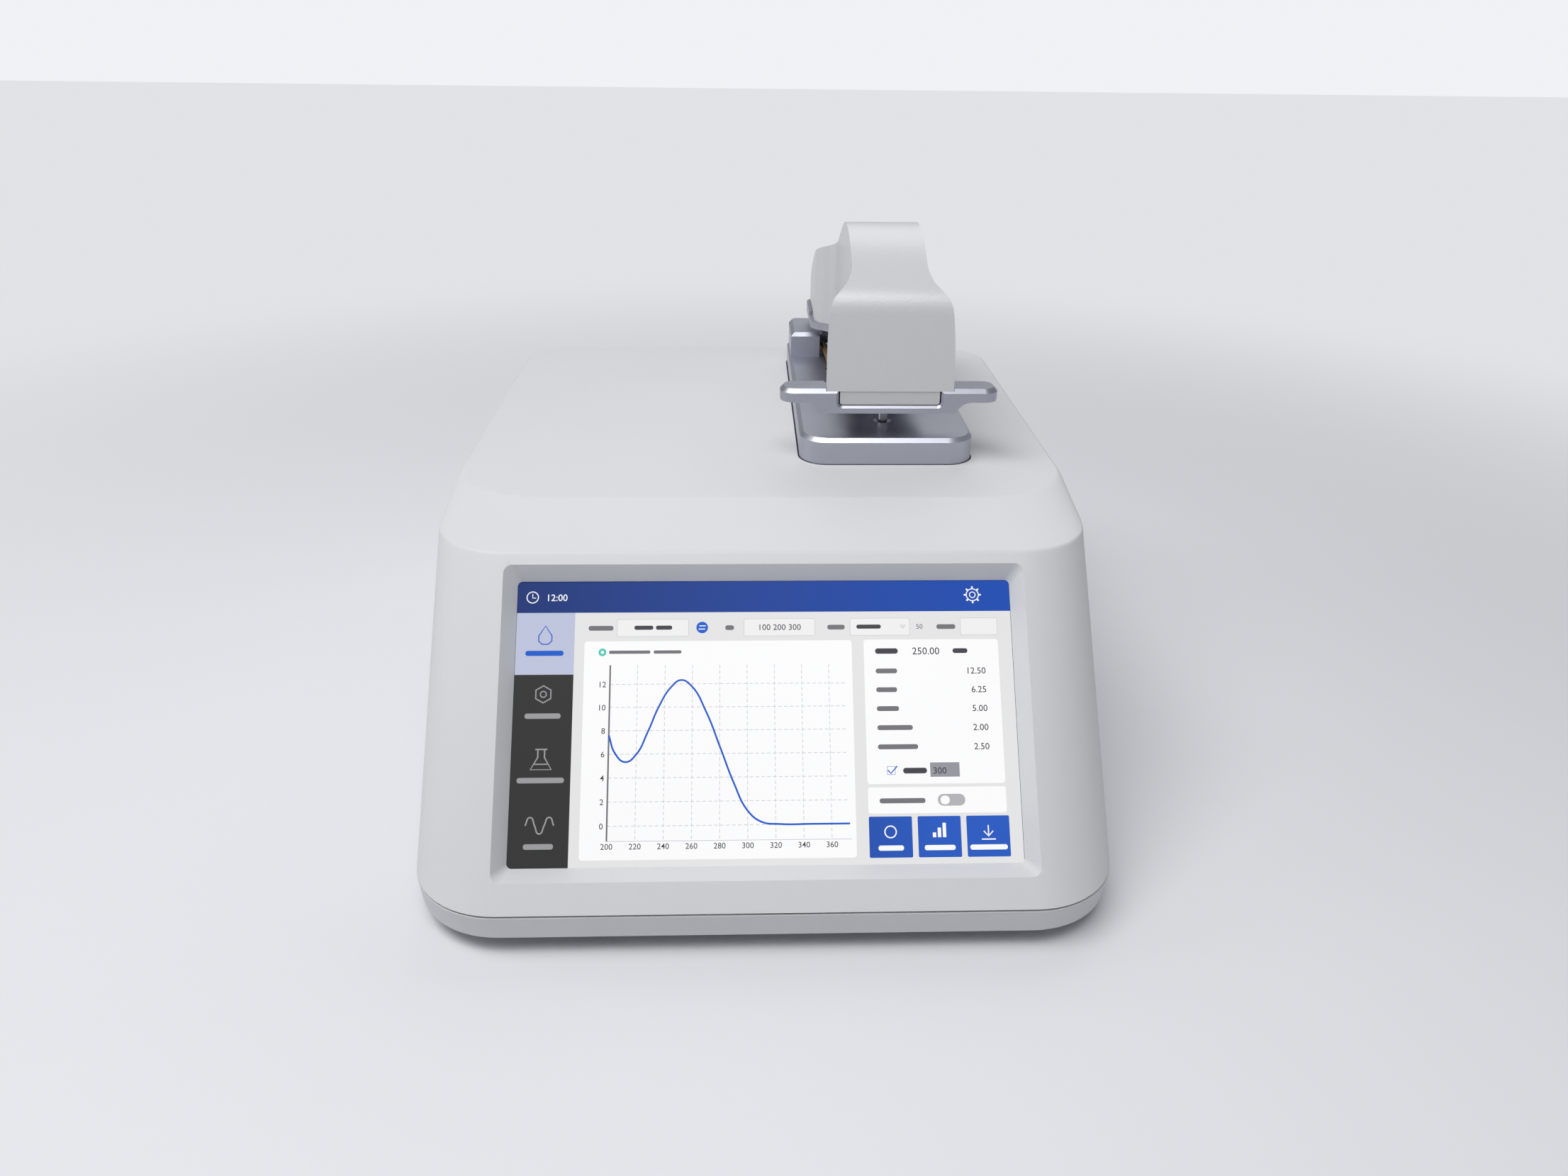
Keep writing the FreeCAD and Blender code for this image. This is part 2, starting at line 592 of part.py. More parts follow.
# ---------------------------------------------------------------- display stack
def make_display():
    half = SCREEN_WIDTH / 2 + 0.3
    tall = SCREEN_HEIGHT / 2 + 0.3
    gasket = flat_rect(GLASS_WIDTH, GLASS_HEIGHT, 3.0, -GLASS_DEPTH, -GASKET_DEPTH)
    window = slab(0, half, -tall, tall, SCREEN_CORNER_R, -GLASS_DEPTH - 1, 0)
    PIECES["glass_gasket"] = on_face(gasket.cut(window), SCREEN_UP_SLOPE)
    glass = flat_rect(GLASS_WIDTH, GLASS_HEIGHT, 3.0, -LCD_DEPTH, -GLASS_DEPTH)
    PIECES["touch_glass"] = on_face(glass, SCREEN_UP_SLOPE)
    lcd = flat_rect(LCD_WIDTH, LCD_HEIGHT, 1.0, -BRACKET_DEPTH, -LCD_DEPTH)
    PIECES["lcd_module"] = on_face(lcd, SCREEN_UP_SLOPE)

    back = BRACKET_DEPTH + BRACKET_THICKNESS
    plate = flat_rect(BRACKET_WIDTH, BRACKET_HEIGHT, 3.0, -back, -BRACKET_DEPTH)
    for side in (-1, 1):
        window = slab(side * 62.0, 13.0, -34, 34, 4.0, -back - 1, 0)
        plate = plate.cut(window)
    standoffs = []
    for x in (-38.0, 38.0):
        for v in (-20.0, 20.0):
            standoffs.append(rod(x, v, -back - BRACKET_STANDOFF, -back + 0.2, 5.0))
    bracket = join([plate] + standoffs)
    for x, v in DISPLAY_BOSSES:
        bracket = bracket.cut(rod(x, v, -back - 1, 0, 2.2))
    PIECES["display_bracket"] = on_face(solid_of(bracket), SCREEN_UP_SLOPE)

    screws = []
    for x, v in DISPLAY_BOSSES:
        screws.append(on_face(pan_screw(x, v, -back, 3.8, 1.3, SMALL_SCREW_DIA, 4.6, 1), SCREEN_UP_SLOPE))
    top = FRAME_Z - MOTOR_FLANGE
    screws += [pan_screw(x, y, top, 3.8, 1.3, SMALL_SCREW_DIA, 4.0, 1) for x, y in MOTOR_SCREWS]
    PIECES["small_screws"] = group(screws)

    top = back + BRACKET_STANDOFF
    board = flat_rect(92.0, 54.0, 2.0, -top - BOARD_THICKNESS, -top)
    chips = [(-26, 6, 9, 9, 1.4), (4, -4, 7, 7, 1.2), (28, 12, 6, 4, 2.0), (-20, -22, 11, 2.6, 2.4)]
    under = -top - BOARD_THICKNESS
    for x, v, hx, hv, height in chips:
        board = board.fuse(box(x - hx, x + hx, v - hv, v + hv, under - height, under))
    PIECES["display_board"] = on_face(solid_of(board.removeSplitter()), SCREEN_UP_SLOPE)


RIBBON_X = -20.0
RIBBON_WIDTH = 18.0
RIBBON_THICKNESS = 0.35


def make_display_ribbon():
    """Flat flex from the display board back to the main board."""
    depth = BRACKET_DEPTH + BRACKET_THICKNESS + BRACKET_STANDOFF + BOARD_THICKNESS + 2.4
    slope = SCREEN_UP_SLOPE - 22.0
    start_y = slope * FACE_DIR[0] + depth * FACE_DIR[1]
    start_z = JOINT_Z + slope * FACE_DIR[1] - depth * FACE_DIR[0]
    end_y = BOARD_Y0 + 1.0
    end_z = BOARD_TOP_Z + 1.0
    left = RIBBON_X - RIBBON_WIDTH / 2
    points = [
        Vector(left, start_y, start_z - RIBBON_THICKNESS),
        Vector(left, start_y + 12, start_z - 9),
        Vector(left, (start_y + end_y) / 2 + 4, SHELL_FLOOR_Z + 7),
        Vector(left, end_y - 14, end_z - 4),
        Vector(left, end_y, end_z),
    ]
    curve = Part.BSplineCurve()
    curve.interpolate(points)
    sheet = curve.toShape().extrude(Vector(RIBBON_WIDTH, 0, 0))
    PIECES["display_ribbon"] = sheet.extrude(Vector(0, 0, RIBBON_THICKNESS)).Solids[0]


# ---------------------------------------------------------------- boards and rear panel
def port_block(x, width, height, depth, hole_width, hole_height, hole_depth):
    """Metal socket shell standing on the main board with its mouth in the rear panel."""
    front = PANEL_OUTER_Y
    shell = box(x - width / 2, x + width / 2, front - depth, front, BOARD_TOP_Z, BOARD_TOP_Z + height)
    middle = BOARD_TOP_Z + height / 2
    mouth = box(
        x - hole_width / 2, x + hole_width / 2, front - hole_depth, front + 1,
        middle - hole_height / 2, middle + hole_height / 2,
    )
    return shell.cut(mouth)


PORTS = {
    "network_socket": [(-66.0, 16.0, 13.6, 17.0, 12.0, 8.6, 12.0)],
    "usb_sockets": [
        (-44.0, 14.4, 7.0, 14.0, 12.4, 5.0, 10.0),
        (-24.0, 14.4, 7.0, 14.0, 12.4, 5.0, 10.0),
        (-4.0, 12.0, 11.0, 16.0, 8.6, 8.0, 10.0),
    ],
}
TONGUE_HEIGHT = 1.8
SWITCH_X = 56.0
SWITCH_Z = 44.0
SWITCH_WIDTH = 19.0
SWITCH_HEIGHT = 13.0
SWITCH_FLANGE = 1.2
SWITCH_DEPTH = 15.0
ROCKER_WIDTH = 14.6
ROCKER_HEIGHT = 9.6
ROCKER_CLEAR = 0.3
ROCKER_SWING = 0.9           # room for the rocker's ends to swing in and out
JACK_X = 33.0
JACK_Z = 44.0
JACK_DIA = 11.0


def make_main_board():
    z0 = BOARD_TOP_Z - BOARD_THICKNESS
    board = box(BOARD_X0, BOARD_X1, BOARD_Y0, BOARD_Y1, z0, BOARD_TOP_Z)
    middle = (BOARD_X0 + BOARD_X1) / 2
    parts = [board]
    heat_x = middle - 8
    heat_y = 200.0
    parts.append(box(heat_x - 16, heat_x + 16, heat_y - 16, heat_y + 16, BOARD_TOP_Z, BOARD_TOP_Z + 3))
    for index in range(8):
        x = heat_x - 15.5 + index * 4.2
        parts.append(box(x, x + 1.4, heat_y - 16, heat_y + 16, BOARD_TOP_Z + 2.5, BOARD_TOP_Z + 12))
    parts.append(box(middle + 20, middle + 34, 170, 206, BOARD_TOP_Z, BOARD_TOP_Z + 1.4))
    parts.append(box(middle - 36, middle - 24, 150, 162, BOARD_TOP_Z, BOARD_TOP_Z + 6))
    ribbon_left = RIBBON_X - RIBBON_WIDTH / 2 - 2
    ribbon_right = RIBBON_X + RIBBON_WIDTH / 2 + 2
    parts.append(box(ribbon_left, ribbon_right, BOARD_Y0 + 1, BOARD_Y0 + 6, BOARD_TOP_Z, BOARD_TOP_Z + 2.6))
    for x, y in ((middle + 26, 140), (middle + 38, 140), (middle + 26, 226)):
        parts.append(rod(x, y, BOARD_TOP_Z, BOARD_TOP_Z + 9, 7.0))
    board = join(parts)
    for x, y in BOARD_POSTS:
        board = board.cut(rod(x, y, z0 - 1, BOARD_TOP_Z + 1, 3.2))
    PIECES["main_board"] = solid_of(board)

    screws = [pan_screw(x, y, BOARD_TOP_Z, 5.4, 2.0, BOARD_SCREW_DIA, 7.0, -1) for x, y in BOARD_POSTS]
    screws += [pan_screw(x, y, POWER_TOP_Z, 5.4, 2.0, BOARD_SCREW_DIA, 6.0, -1) for x, y in POWER_POSTS]
    PIECES["board_screws"] = group(screws)


def make_power_board():
    z0 = POWER_TOP_Z - BOARD_THICKNESS
    parts = [box(POWER_X0, POWER_X1, POWER_Y0, POWER_Y1, z0, POWER_TOP_Z)]
    middle = (POWER_X0 + POWER_X1) / 2
    parts.append(box(middle - 9, middle + 9, POWER_Y0 + 14, POWER_Y0 + 30, POWER_TOP_Z, POWER_TOP_Z + 9))
    for x in (middle - 16, middle + 16):
        parts.append(rod(x, POWER_Y1 - 14, POWER_TOP_Z, POWER_TOP_Z + 14, 8.0))
    board = join(parts)
    for x, y in POWER_POSTS:
        board = board.cut(rod(x, y, z0 - 1, POWER_TOP_Z + 1, 3.2))
    PIECES["power_board"] = solid_of(board)


def make_rear_panel():
    inner = PANEL_OUTER_Y - PANEL_THICKNESS
    top = PANEL_BOTTOM_Z + PANEL_HEIGHT
    panel = box(-PANEL_WIDTH / 2, PANEL_WIDTH / 2, inner, PANEL_OUTER_Y, PANEL_BOTTOM_Z, top)
    for sockets in PORTS.values():
        for x, width, height, depth, hole_width, hole_height, hole_depth in sockets:
            half = width / 2 + FIT
            cut = box(x - half, x + half, inner - 1, PANEL_OUTER_Y + 1, BOARD_TOP_Z - FIT,
                      BOARD_TOP_Z + height + FIT)
            panel = panel.cut(cut)
    switch_half = SWITCH_WIDTH / 2
    switch_tall = SWITCH_HEIGHT / 2
    panel = panel.cut(
        box(SWITCH_X - switch_half, SWITCH_X + switch_half, inner - 1, PANEL_OUTER_Y + 1,
            SWITCH_Z - switch_tall, SWITCH_Z + switch_tall)
    )
    panel = panel.cut(rod_y(JACK_X, JACK_Z, inner - 1, PANEL_OUTER_Y + 1, JACK_DIA))
    for index in range(16):
        x = -66.0 + index * 5.0
        slot = box(x, x + 2.4, inner - 1, PANEL_OUTER_Y + 1, top - 22, top - PANEL_LAP - 3)
        panel = panel.cut(slot)
    PIECES["rear_panel"] = solid_of(panel)

    for name, sockets in PORTS.items():
        blocks = []
        for size in sockets:
            block = port_block(*size)
            x, width, height, depth, hole_width, hole_height, hole_depth = size
            middle = BOARD_TOP_Z + height / 2
            tongue_half = hole_width / 2 - 1.4
            tongue = box(x - tongue_half, x + tongue_half, PANEL_OUTER_Y - hole_depth - 0.5,
                         PANEL_OUTER_Y - 1.5, middle, middle + TONGUE_HEIGHT)
            blocks.append(block.fuse(tongue).removeSplitter().Solids[0])
        PIECES[name] = group(blocks)

    flange = 1.5
    body = box(
        SWITCH_X - switch_half, SWITCH_X + switch_half, PANEL_OUTER_Y - SWITCH_DEPTH, PANEL_OUTER_Y,
        SWITCH_Z - switch_tall, SWITCH_Z + switch_tall,
    )
    rim = box(
        SWITCH_X - switch_half - flange, SWITCH_X + switch_half + flange, PANEL_OUTER_Y,
        PANEL_OUTER_Y + SWITCH_FLANGE, SWITCH_Z - switch_tall - flange, SWITCH_Z + switch_tall + flange,
    )
    half = ROCKER_WIDTH / 2 + ROCKER_CLEAR
    tall = ROCKER_HEIGHT / 2 + ROCKER_SWING
    well = box(
        SWITCH_X - half, SWITCH_X + half, PANEL_OUTER_Y - 8, PANEL_OUTER_Y + 3, SWITCH_Z - tall,
        SWITCH_Z + tall,
    )
    switch = join([body, rim]).cut(well)
    pivot = rod_x(ROCKER_Y, SWITCH_Z, SWITCH_X - half - 1, SWITCH_X + half + 1, ROCKER_PIN_DIA)
    PIECES["power_switch_body"] = solid_of(switch.fuse(pivot).removeSplitter())

    jack = rod_y(JACK_X, JACK_Z, inner - 11, PANEL_OUTER_Y, JACK_DIA - 0.1)
    jack = jack.fuse(rod_y(JACK_X, JACK_Z, inner - 3, inner, JACK_DIA + 3))
    jack = jack.cut(rod_y(JACK_X, JACK_Z, inner - 8, PANEL_OUTER_Y + 1, 5.6))
    jack = jack.fuse(rod_y(JACK_X, JACK_Z, inner - 9, PANEL_OUTER_Y - 1, 2.0))
    PIECES["power_socket"] = solid_of(jack.removeSplitter())


ROCKER_Y = PANEL_OUTER_Y - 4.0
ROCKER_PIN_DIA = 2.0
ROCKER_ANGLE = 8.0
ROCKER_BORE_FIT = 0.06


def make_power_rocker():
    """Rocker lying level at rest, with two flats that meet in a shallow valley."""
    half = ROCKER_WIDTH / 2
    tall = ROCKER_HEIGHT / 2
    tip = PANEL_OUTER_Y + 0.9
    valley = PANEL_OUTER_Y + 0.2
    low = ROCKER_Y - 2.2
    outline = [
        (tip, -tall), (valley, 0), (tip, tall), (PANEL_OUTER_Y - 2.0, tall), (low, 1.6), (low, -1.6),
        (PANEL_OUTER_Y - 2.0, -tall), (tip, -tall),
    ]
    points = [Vector(SWITCH_X - half, y, SWITCH_Z + z) for y, z in outline]
    rocker = Part.Face(Part.makePolygon(points)).extrude(Vector(ROCKER_WIDTH, 0, 0))
    bore = rod_x(ROCKER_Y, SWITCH_Z, SWITCH_X - half - 1, SWITCH_X + half + 1,
                 ROCKER_PIN_DIA + 2 * ROCKER_BORE_FIT)
    PIECES["power_rocker"] = rocker.cut(bore)


# ---------------------------------------------------------------- optics under the top
OPTICS_FLOOR_Z = 18.0
SPEC_X0 = PLINTH_X - 30.0
SPEC_X1 = PLINTH_X + 26.0
SPEC_Y0 = PEDESTAL_Y + 16.0
SPEC_Y1 = PLINTH_BACK - 11.0
SPEC_HEIGHT = 26.0
SPEC_WALL = 2.5
LAMP_X0 = PLINTH_X - 24.0
LAMP_X1 = PLINTH_X + 16.0
LAMP_Y0 = PLINTH_FRONT + 5.0
LAMP_Y1 = LAMP_Y0 + 32.0
LAMP_HEIGHT = 26.0
OPTICS_POSTS = [
    (x, y)
    for x, y in (
        (SPEC_X0 + 6, SPEC_Y0 + 6), (SPEC_X1 - 6, SPEC_Y0 + 6), (SPEC_X0 + 6, SPEC_Y1 - 6),
        (SPEC_X1 - 6, SPEC_Y1 - 6), (LAMP_X0 + 5, LAMP_Y0 + 5), (LAMP_X1 - 5, LAMP_Y1 - 5),
        (LAMP_X0 + 5, LAMP_Y1 - 5), (LAMP_X1 - 5, LAMP_Y0 + 5),
    )
]
COUPLING_DIA = 8.0
COUPLING_LENGTH = 9.0
SPEC_PORT_Z = OPTICS_FLOOR_Z + SPEC_HEIGHT / 2
LAMP_PORT_X = LAMP_X0 + 8.0
LAMP_PORT_Z = OPTICS_FLOOR_Z + LAMP_HEIGHT / 2


def make_spectrometer():
    z1 = OPTICS_FLOOR_Z + SPEC_HEIGHT
    case = box(SPEC_X0, SPEC_X1, SPEC_Y0, SPEC_Y1, OPTICS_FLOOR_Z, z1)
    cavity = box(
        SPEC_X0 + SPEC_WALL, SPEC_X1 - SPEC_WALL, SPEC_Y0 + SPEC_WALL, SPEC_Y1 - SPEC_WALL,
        OPTICS_FLOOR_Z + SPEC_WALL, z1 + 1,
    )
    case = case.cut(cavity)
    case = case.cut(rod_y(PLINTH_X, SPEC_PORT_Z, SPEC_Y0 - 1, SPEC_Y0 + SPEC_WALL + 1, 5.0))
    floor_z = OPTICS_FLOOR_Z + SPEC_WALL
    mirror = box(PLINTH_X - 12, PLINTH_X + 12, SPEC_Y1 - 10, SPEC_Y1 - SPEC_WALL - 3, floor_z, z1 - 4)
    grating = box(SPEC_X1 - 22, SPEC_X1 - 8, SPEC_Y0 + 10, SPEC_Y0 + 15, floor_z, z1 - 6)
    PIECES["spectrometer_case"] = solid_of(case)
    PIECES["spectrometer_optics"] = group([mirror, grating])
    lid = box(SPEC_X0, SPEC_X1, SPEC_Y0, SPEC_Y1, z1, z1 + 2.0)
    PIECES["spectrometer_lid"] = lid
    board = box(SPEC_X0 - BOARD_THICKNESS, SPEC_X0, SPEC_Y0 + 8, SPEC_Y1 - 8, OPTICS_FLOOR_Z + 1, z1 - 1)
    chip = box(SPEC_X0 - BOARD_THICKNESS - 3, SPEC_X0 - BOARD_THICKNESS, SPEC_Y0 + 20, SPEC_Y0 + 34,
               OPTICS_FLOOR_Z + 7, OPTICS_FLOOR_Z + 19)
    PIECES["detector_board"] = solid_of(join([board, chip]))


def make_lamp():
    z1 = OPTICS_FLOOR_Z + LAMP_HEIGHT
    parts = [box(LAMP_X0, LAMP_X1, LAMP_Y0, LAMP_Y1, OPTICS_FLOOR_Z, z1)]
    for index in range(7):
        x = LAMP_X0 + 2 + index * 5.7
        parts.append(box(x, x + 1.8, LAMP_Y0, LAMP_Y1, z1 - 0.5, z1 + 5))
    PIECES["xenon_lamp"] = solid_of(join(parts))
    couplings = []
    lamp_end = LAMP_Y1 + COUPLING_LENGTH
    lamp_body = rod_y(LAMP_PORT_X, LAMP_PORT_Z, LAMP_Y1, lamp_end, COUPLING_DIA)
    couplings.append(lamp_body.cut(rod_y(LAMP_PORT_X, LAMP_PORT_Z, LAMP_Y1 + 1, lamp_end + 1, FIBRE_DIA)))
    spec_end = SPEC_Y0 - COUPLING_LENGTH
    spec_body = rod_y(PLINTH_X, SPEC_PORT_Z, spec_end, SPEC_Y0, COUPLING_DIA)
    couplings.append(spec_body.cut(rod_y(PLINTH_X, SPEC_PORT_Z, spec_end - 1, SPEC_Y0 - 1, FIBRE_DIA)))
    PIECES["fibre_couplings"] = group(couplings)


LEAD_X = PLINTH_X - PLINTH_HALF + 16.4
LEAD_Y = HINGE_Y - 41.5
LEAD_SLOT_WIDTH = 4.0


def make_internal_fibres():
    rise_y = SPEC_Y0 - 6.0
    PIECES["source_fibre"] = routed_tube(
        [
            (LAMP_PORT_X, LAMP_Y1 + 1.0, LAMP_PORT_Z),
            (LAMP_PORT_X, rise_y - 2, LAMP_PORT_Z),
            (LAMP_PORT_X, rise_y, LAMP_PORT_Z + 34),
            (LEAD_X, LEAD_Y, FRAME_Z - 8),
            (LEAD_X, LEAD_Y, POCKET_ROOF - 1),
        ],
        FIBRE_BEND, FIBRE_DIA,
    )
    low = PEDESTAL_BOTTOM
    dip_y = PEDESTAL_Y - 8.0
    PIECES["return_fibre"] = routed_tube(
        [
            (PLINTH_X, PEDESTAL_Y, low),
            (PLINTH_X, PEDESTAL_Y, low - 22),
            (PLINTH_X, dip_y, SPEC_PORT_Z + 20),
            (PLINTH_X, dip_y, SPEC_PORT_Z),
            (PLINTH_X, SPEC_Y0 - 1.0, SPEC_PORT_Z),
        ],
        FIBRE_BEND, FIBRE_DIA,
    )


def make_optics_frame():
    half = PLINTH_HALF + FRAME_MARGIN
    front = PLINTH_FRONT - FRAME_MARGIN
    back = PLINTH_BACK + FRAME_MARGIN
    plate = slab(PLINTH_X, half, front, back, PLINTH_CORNER_R + FRAME_MARGIN, FRAME_Z, PLINTH_BASE)
    opening = slab(PLINTH_X, PLINTH_HALF - 9, PEDESTAL_Y - 14, PLINTH_BACK - 16, 6.0, FRAME_Z - 1,
                   PLINTH_BASE + 1)
    parts = [plate.cut(opening)]
    for x, y in FRAME_LEGS:
        parts.append(rod(x, y, TOWER_FOOT_Z, PLINTH_BASE - 0.5, FRAME_LEG_DIA))
    for side in (-1, 1):
        x = PLINTH_X + side * (PLINTH_HALF - 1.0)
        rib = box(x - 1.5, x + 1.5, PLINTH_FRONT + 2, PLINTH_BACK - 4, FRAME_Z - 9, FRAME_Z + 0.5)
        parts.append(rib)
    frame = join(parts)
    frame = frame.cut(rod(PLINTH_X, PIN_Y, FRAME_Z - 1, PLINTH_BASE + 1, PLUNGER_DIA + 2))
    for x, y in PLINTH_SCREWS:
        frame = frame.cut(rod(x, y, FRAME_Z - 1, PLINTH_BASE + 1, 4.4))
    for x, y in FRAME_LEGS:
        frame = frame.cut(rod(x, y, TOWER_FOOT_Z - 1, TOWER_FOOT_Z + 12, FRAME_SCREW_DIA))
    for x, y in MOTOR_SCREWS:
        frame = frame.cut(rod(x, y, FRAME_Z - 1, FRAME_Z + 3, SMALL_SCREW_DIA))
    PIECES["optics_frame"] = solid_of(frame)



PLINTH_SCREWS = [
    (PLINTH_X + side * (PLINTH_HALF - 8.0), y)
    for side in (-1, 1)
    for y in (PLINTH_FRONT + 14.0, PLINTH_BACK - 8.0)
]
EAR_SCREWS = [
    (PLINTH_X + side * (EAR_OUTER_SPAN / 2 - EAR_WIDTH / 2), y)
    for side in (-1, 1)
    for y in (HINGE_Y - 16.2, HINGE_Y - 8.0)
]
MOTOR_SCREWS = [(PLINTH_X + side * 12.5, PIN_Y) for side in (-1, 1)]
EAR_SCREW_HEAD = 5.0


# ---------------------------------------------------------------- plinth and what sits in it
def make_plinth():
    blank = slab(
        PLINTH_X, PLINTH_HALF, PLINTH_FRONT, PLINTH_BACK, PLINTH_CORNER_R, PLINTH_BASE, PLINTH_TOP
    )
    blank = blank.makeChamfer(PLINTH_CHAMFER, edges_where(blank, lambda p: near(p.z, PLINTH_TOP)))
    pocket = slab(
        PLINTH_X, PLINTH_HALF - PLINTH_WALL, PLINTH_FRONT + PLINTH_WALL, PLINTH_BACK - PLINTH_WALL,
        PLINTH_CORNER_R - PLINTH_WALL, PLINTH_BASE - 1, POCKET_ROOF,
    )
    keep = [rod(PLINTH_X, PIN_Y, PLINTH_BASE, PLINTH_TOP - 2, 12.0)]
    keep.append(rod(PLINTH_X, PEDESTAL_Y, PLINTH_BASE, PLINTH_TOP - 2, PEDESTAL_DISC_DIA + 4))
    for x, y in PLINTH_SCREWS:
        keep.append(rod(x, y, PLINTH_BASE, PLINTH_TOP - 2, 10.0))
    for bosses in keep:
        pocket = pocket.cut(bosses)
    plinth = blank.cut(pocket)
    wide = PIN_COUNTERSINK_DIA / 2
    narrow = PIN_HOLE_DIA / 2
    hole = turned(
        PLINTH_X, PIN_Y,
        [(0, PLINTH_BASE - 1), (narrow, PLINTH_BASE - 1), (narrow, PLINTH_TOP - (wide - narrow)),
         (wide, PLINTH_TOP), (wide, PLINTH_TOP + 1), (0, PLINTH_TOP + 1)],
    )
    cuts = [hole]
    cuts.append(rod(PLINTH_X, PEDESTAL_Y, PLINTH_BASE - 1, PLINTH_TOP + 1, PEDESTAL_STEM_DIA))
    cuts.append(rod(PLINTH_X, PEDESTAL_Y, PLINTH_TOP - DISC_THICKNESS, PLINTH_TOP + 1, PEDESTAL_DISC_DIA))
    cuts.append(
        slab(
            LEAD_X, LEAD_SLOT_WIDTH / 2, LEAD_Y - LEAD_SLOT_WIDTH / 2, LEAD_Y + LEAD_SLOT_WIDTH,
            LEAD_SLOT_WIDTH / 2 - 0.01, PLINTH_BASE - 1, PLINTH_TOP + 1,
        )
    )
    for x, y in PLINTH_SCREWS:
        cuts.append(rod(x, y, PLINTH_BASE - 1, PLINTH_BASE + 9, FRAME_SCREW_DIA))
    for x, y in EAR_SCREWS:
        cuts.append(rod(x, y, POCKET_ROOF - 1, PLINTH_TOP + 1, 3.2))
        cuts.append(rod(x, y, POCKET_ROOF - 4, POCKET_ROOF, EAR_SCREW_HEAD + 0.4))
    for cut in cuts:
        plinth = plinth.cut(cut)
    PIECES["arm_plinth"] = solid_of(plinth)

    gasket_top = TOP_Z - WALL
    inner = PLINTH_GAP / 2
    PIECES["plinth_gasket"] = ring_plate(
        PLINTH_X, PLINTH_HALF + FRAME_MARGIN - 0.5, PLINTH_FRONT - FRAME_MARGIN + 0.5,
        PLINTH_BACK + FRAME_MARGIN - 0.5, PLINTH_CORNER_R + FRAME_MARGIN - 0.5,
        FRAME_MARGIN - 0.5 - inner, PLINTH_BASE, gasket_top,
    )


DISC_THICKNESS = 1.0
PEDESTAL_BOTTOM = PLINTH_BASE - 2.0


def make_pedestals():
    stem = PEDESTAL_STEM_DIA / 2
    post = PEDESTAL_POST_DIA / 2
    disc = PEDESTAL_DISC_DIA / 2 - 0.1
    top = PLINTH_TOP + PEDESTAL_RISE
    groove = 3.6
    lower = turned(
        PLINTH_X, PEDESTAL_Y,
        [(0, PEDESTAL_BOTTOM), (stem, PEDESTAL_BOTTOM), (stem, PLINTH_TOP - DISC_THICKNESS),
         (disc, PLINTH_TOP - DISC_THICKNESS), (disc, PLINTH_TOP), (groove, PLINTH_TOP),
         (groove, PLINTH_TOP - 0.6), (post, PLINTH_TOP - 0.6), (post, top - 0.3), (post - 0.3, top), (0, top)],
    )
    PIECES["lower_pedestal"] = lower
    PIECES["pedestal_seal"] = turned(
        PLINTH_X, PEDESTAL_Y,
        [(post, PLINTH_TOP - 0.6), (groove, PLINTH_TOP - 0.6), (groove, PLINTH_TOP + 0.2),
         (post + 0.5, PLINTH_TOP + 0.6), (post, PLINTH_TOP + 0.6)],
    )
    tip = top + SAMPLE_GAP
    collar = ARM_Z - 1.6
    upper = turned(
        PLINTH_X, PEDESTAL_Y,
        [(0, tip), (post - 0.3, tip), (post, tip + 0.3), (post, tip + 4.0), (stem - 1.4, tip + 5.0),
         (stem - 1.4, collar), (stem + 1.5, collar), (stem + 1.5, ARM_Z), (stem - 1.0, ARM_Z),
         (stem - 1.0, HOOD_Z + 4), (0, HOOD_Z + 4)],
    )
    PIECES["upper_pedestal"] = upper
    nut = rod(PLINTH_X, PEDESTAL_Y, HOOD_Z, HOOD_Z + 2.6, 12.0)
    PIECES["pedestal_nut"] = nut.cut(rod(PLINTH_X, PEDESTAL_Y, HOOD_Z - 1, HOOD_Z + 4, PEDESTAL_STEM_DIA - 2))


def make_path_drive():
    """Small linear motor under the plinth. Its plunger carries the arm's pin and sets the path length."""
    top = FRAME_Z
    bottom = top - MOTOR_HEIGHT
    can = rod(PLINTH_X, PIN_Y, bottom, top, MOTOR_DIA)
    flange = slab(PLINTH_X, 16.0, PIN_Y - 5, PIN_Y + 5, 3.0, top - MOTOR_FLANGE, top)
    body = join([can, flange])
    cavity_dia = MOTOR_DIA - 2 * MOTOR_WALL
    body = body.cut(rod(PLINTH_X, PIN_Y, bottom + MOTOR_WALL, top - MOTOR_WALL, cavity_dia))
    body = body.cut(rod(PLINTH_X, PIN_Y, bottom - 1, top + 1, PLUNGER_DIA + 0.12))
    for x, y in MOTOR_SCREWS:
        body = body.cut(rod(x, y, top - 3, top + 1, 2.2))
    PIECES["path_motor_body"] = solid_of(body)
    rotor = rod(
        PLINTH_X, PIN_Y, bottom + MOTOR_WALL + ROTOR_GAP, top - MOTOR_WALL - ROTOR_GAP,
        cavity_dia - 2 * ROTOR_GAP,
    )
    PIECES["path_motor_rotor"] = rotor.cut(rod(PLINTH_X, PIN_Y, bottom, top, PLUNGER_DIA + 0.12))
    plunger_top = PLINTH_TOP - PIN_TIP_DEPTH - PLUNGER_GAP
    plunger = rod(PLINTH_X, PIN_Y, plunger_top - PLUNGER_LENGTH, plunger_top, PLUNGER_DIA)
    PIECES["path_plunger"] = plunger


SENSOR_Y = PIN_Y + 14.9


